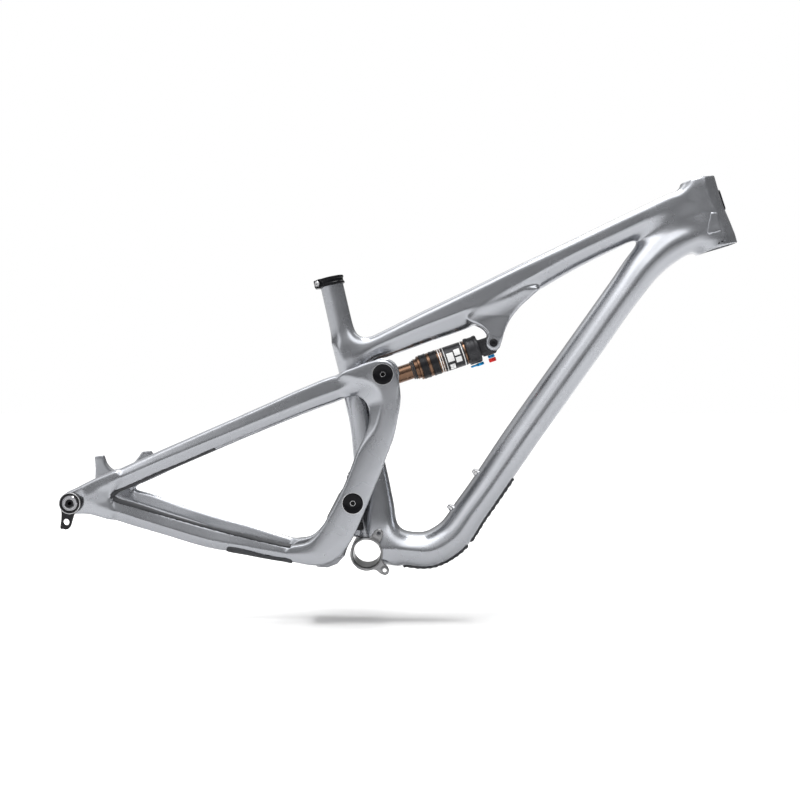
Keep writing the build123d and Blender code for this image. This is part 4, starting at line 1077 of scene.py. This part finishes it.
# ---- Camera, floor and light ----
VIEW_ROLL = math.radians(6.0)
right = Vector((math.cos(VIEW_ROLL), 0, math.sin(VIEW_ROLL)))
up = Vector((-math.sin(VIEW_ROLL), 0, math.cos(VIEW_ROLL)))
AIM = Vector((0.0253, 0, 0.233))
VIEW_DISTANCE = 2.0
camera_data = bpy.data.cameras.new("camera")
camera_data.lens = 59.29
camera_data.sensor_width = 36
camera = bpy.data.objects.new("camera", camera_data)
camera_turn = Matrix((right, up, (0, -1, 0))).transposed().to_4x4()
camera.matrix_world = Matrix.Translation(AIM - Vector((0, VIEW_DISTANCE, 0))) @ camera_turn
bpy.context.scene.collection.objects.link(camera)
bpy.context.scene.camera = camera

FLOOR_DROP = 0.334
floor_form = bmesh.new()
bmesh.ops.create_circle(floor_form, cap_ends=True, segments=96, radius=30.0)
floor_mesh = bpy.data.meshes.new("floor")
floor_form.to_mesh(floor_mesh)
floor_form.free()
floor = bpy.data.objects.new("floor", floor_mesh)
floor_material, floor_shader = new_material("floor_white", (0.82, 0.82, 0.82), 0.0, 0.9, specular=0.1)
floor_shader.inputs["Emission Color"].default_value = (1, 1, 1, 1)
away = node(floor_material, "ShaderNodeVectorMath", operation="LENGTH")
link = floor_material.node_tree.links.new
link(node(floor_material, "ShaderNodeTexCoord").outputs["Object"], away.inputs[0])
glow = spread(floor_material, away.outputs["Value"], 0.35, 1.6, 0.04, 1.0)
link(glow, floor_shader.inputs["Emission Strength"])
floor_mesh.materials.append(floor_material)
floor.matrix_world = Matrix.Translation(AIM - up * FLOOR_DROP) @ Matrix.Rotation(-VIEW_ROLL, 4, "Y")
bpy.context.scene.collection.objects.link(floor)


def softbox(name, place, aim, width, height, power):
    """Large soft light at a place, aimed at a point."""
    data = bpy.data.lights.new(name, "AREA")
    data.shape = "RECTANGLE"
    data.size, data.size_y, data.energy = width, height, power
    light = bpy.data.objects.new(name, data)
    light_turn = (Vector(aim) - Vector(place)).to_track_quat("-Z", "Y").to_matrix().to_4x4()
    light.matrix_world = Matrix.Translation(place) @ light_turn
    bpy.context.scene.collection.objects.link(light)


softbox("softbox_right", (0.0, -1.1, 1.9), (0.05, 0.0, 0.2), 3.0, 1.0, 25)
softbox("softbox_left", (0.0, 1.1, 1.9), (0.05, 0.0, 0.2), 3.0, 1.0, 12)
softbox("softbox_top", (-0.05, 0.0, 2.2), (-0.1, 0.0, 0.2), 1.6, 0.5, 60)
softbox("softbox_rear", (-1.7, -1.5, 0.95), (0.1, 0.0, 0.2), 0.9, 1.3, 5)

world = bpy.data.worlds.new("studio")
bpy.context.scene.world = world
world.use_nodes = True
background = world.node_tree.nodes["Background"]
background.inputs["Color"].default_value = (1, 1, 1, 1)
link = world.node_tree.links.new

# brighter upwards and towards the rear
direction = node(world, "ShaderNodeSeparateXYZ")
link(node(world, "ShaderNodeTexCoord").outputs["Generated"], direction.inputs["Vector"])
strength = node(world, "ShaderNodeMath", operation="MULTIPLY")
link(spread(world, direction.outputs["Z"], 0.05, 0.6, 0.14, 0.8), strength.inputs[0])
link(spread(world, direction.outputs["X"], -0.7, 0.7, 1.6, 0.45), strength.inputs[1])

# white where the camera sees it, and dim where it lights matt surfaces
ray = node(world, "ShaderNodeLightPath")
source = strength.outputs["Value"]
for kind, value in (("Is Camera Ray", 1.0), ("Is Diffuse Ray", 0.15)):
    pick = node(world, "ShaderNodeMix", data_type="FLOAT")
    link(ray.outputs[kind], pick.inputs[0])
    link(source, pick.inputs[2])
    pick.inputs[3].default_value = value
    source = pick.outputs[0]
link(source, background.inputs["Strength"])
bpy.context.scene.view_settings.view_transform = "Standard"
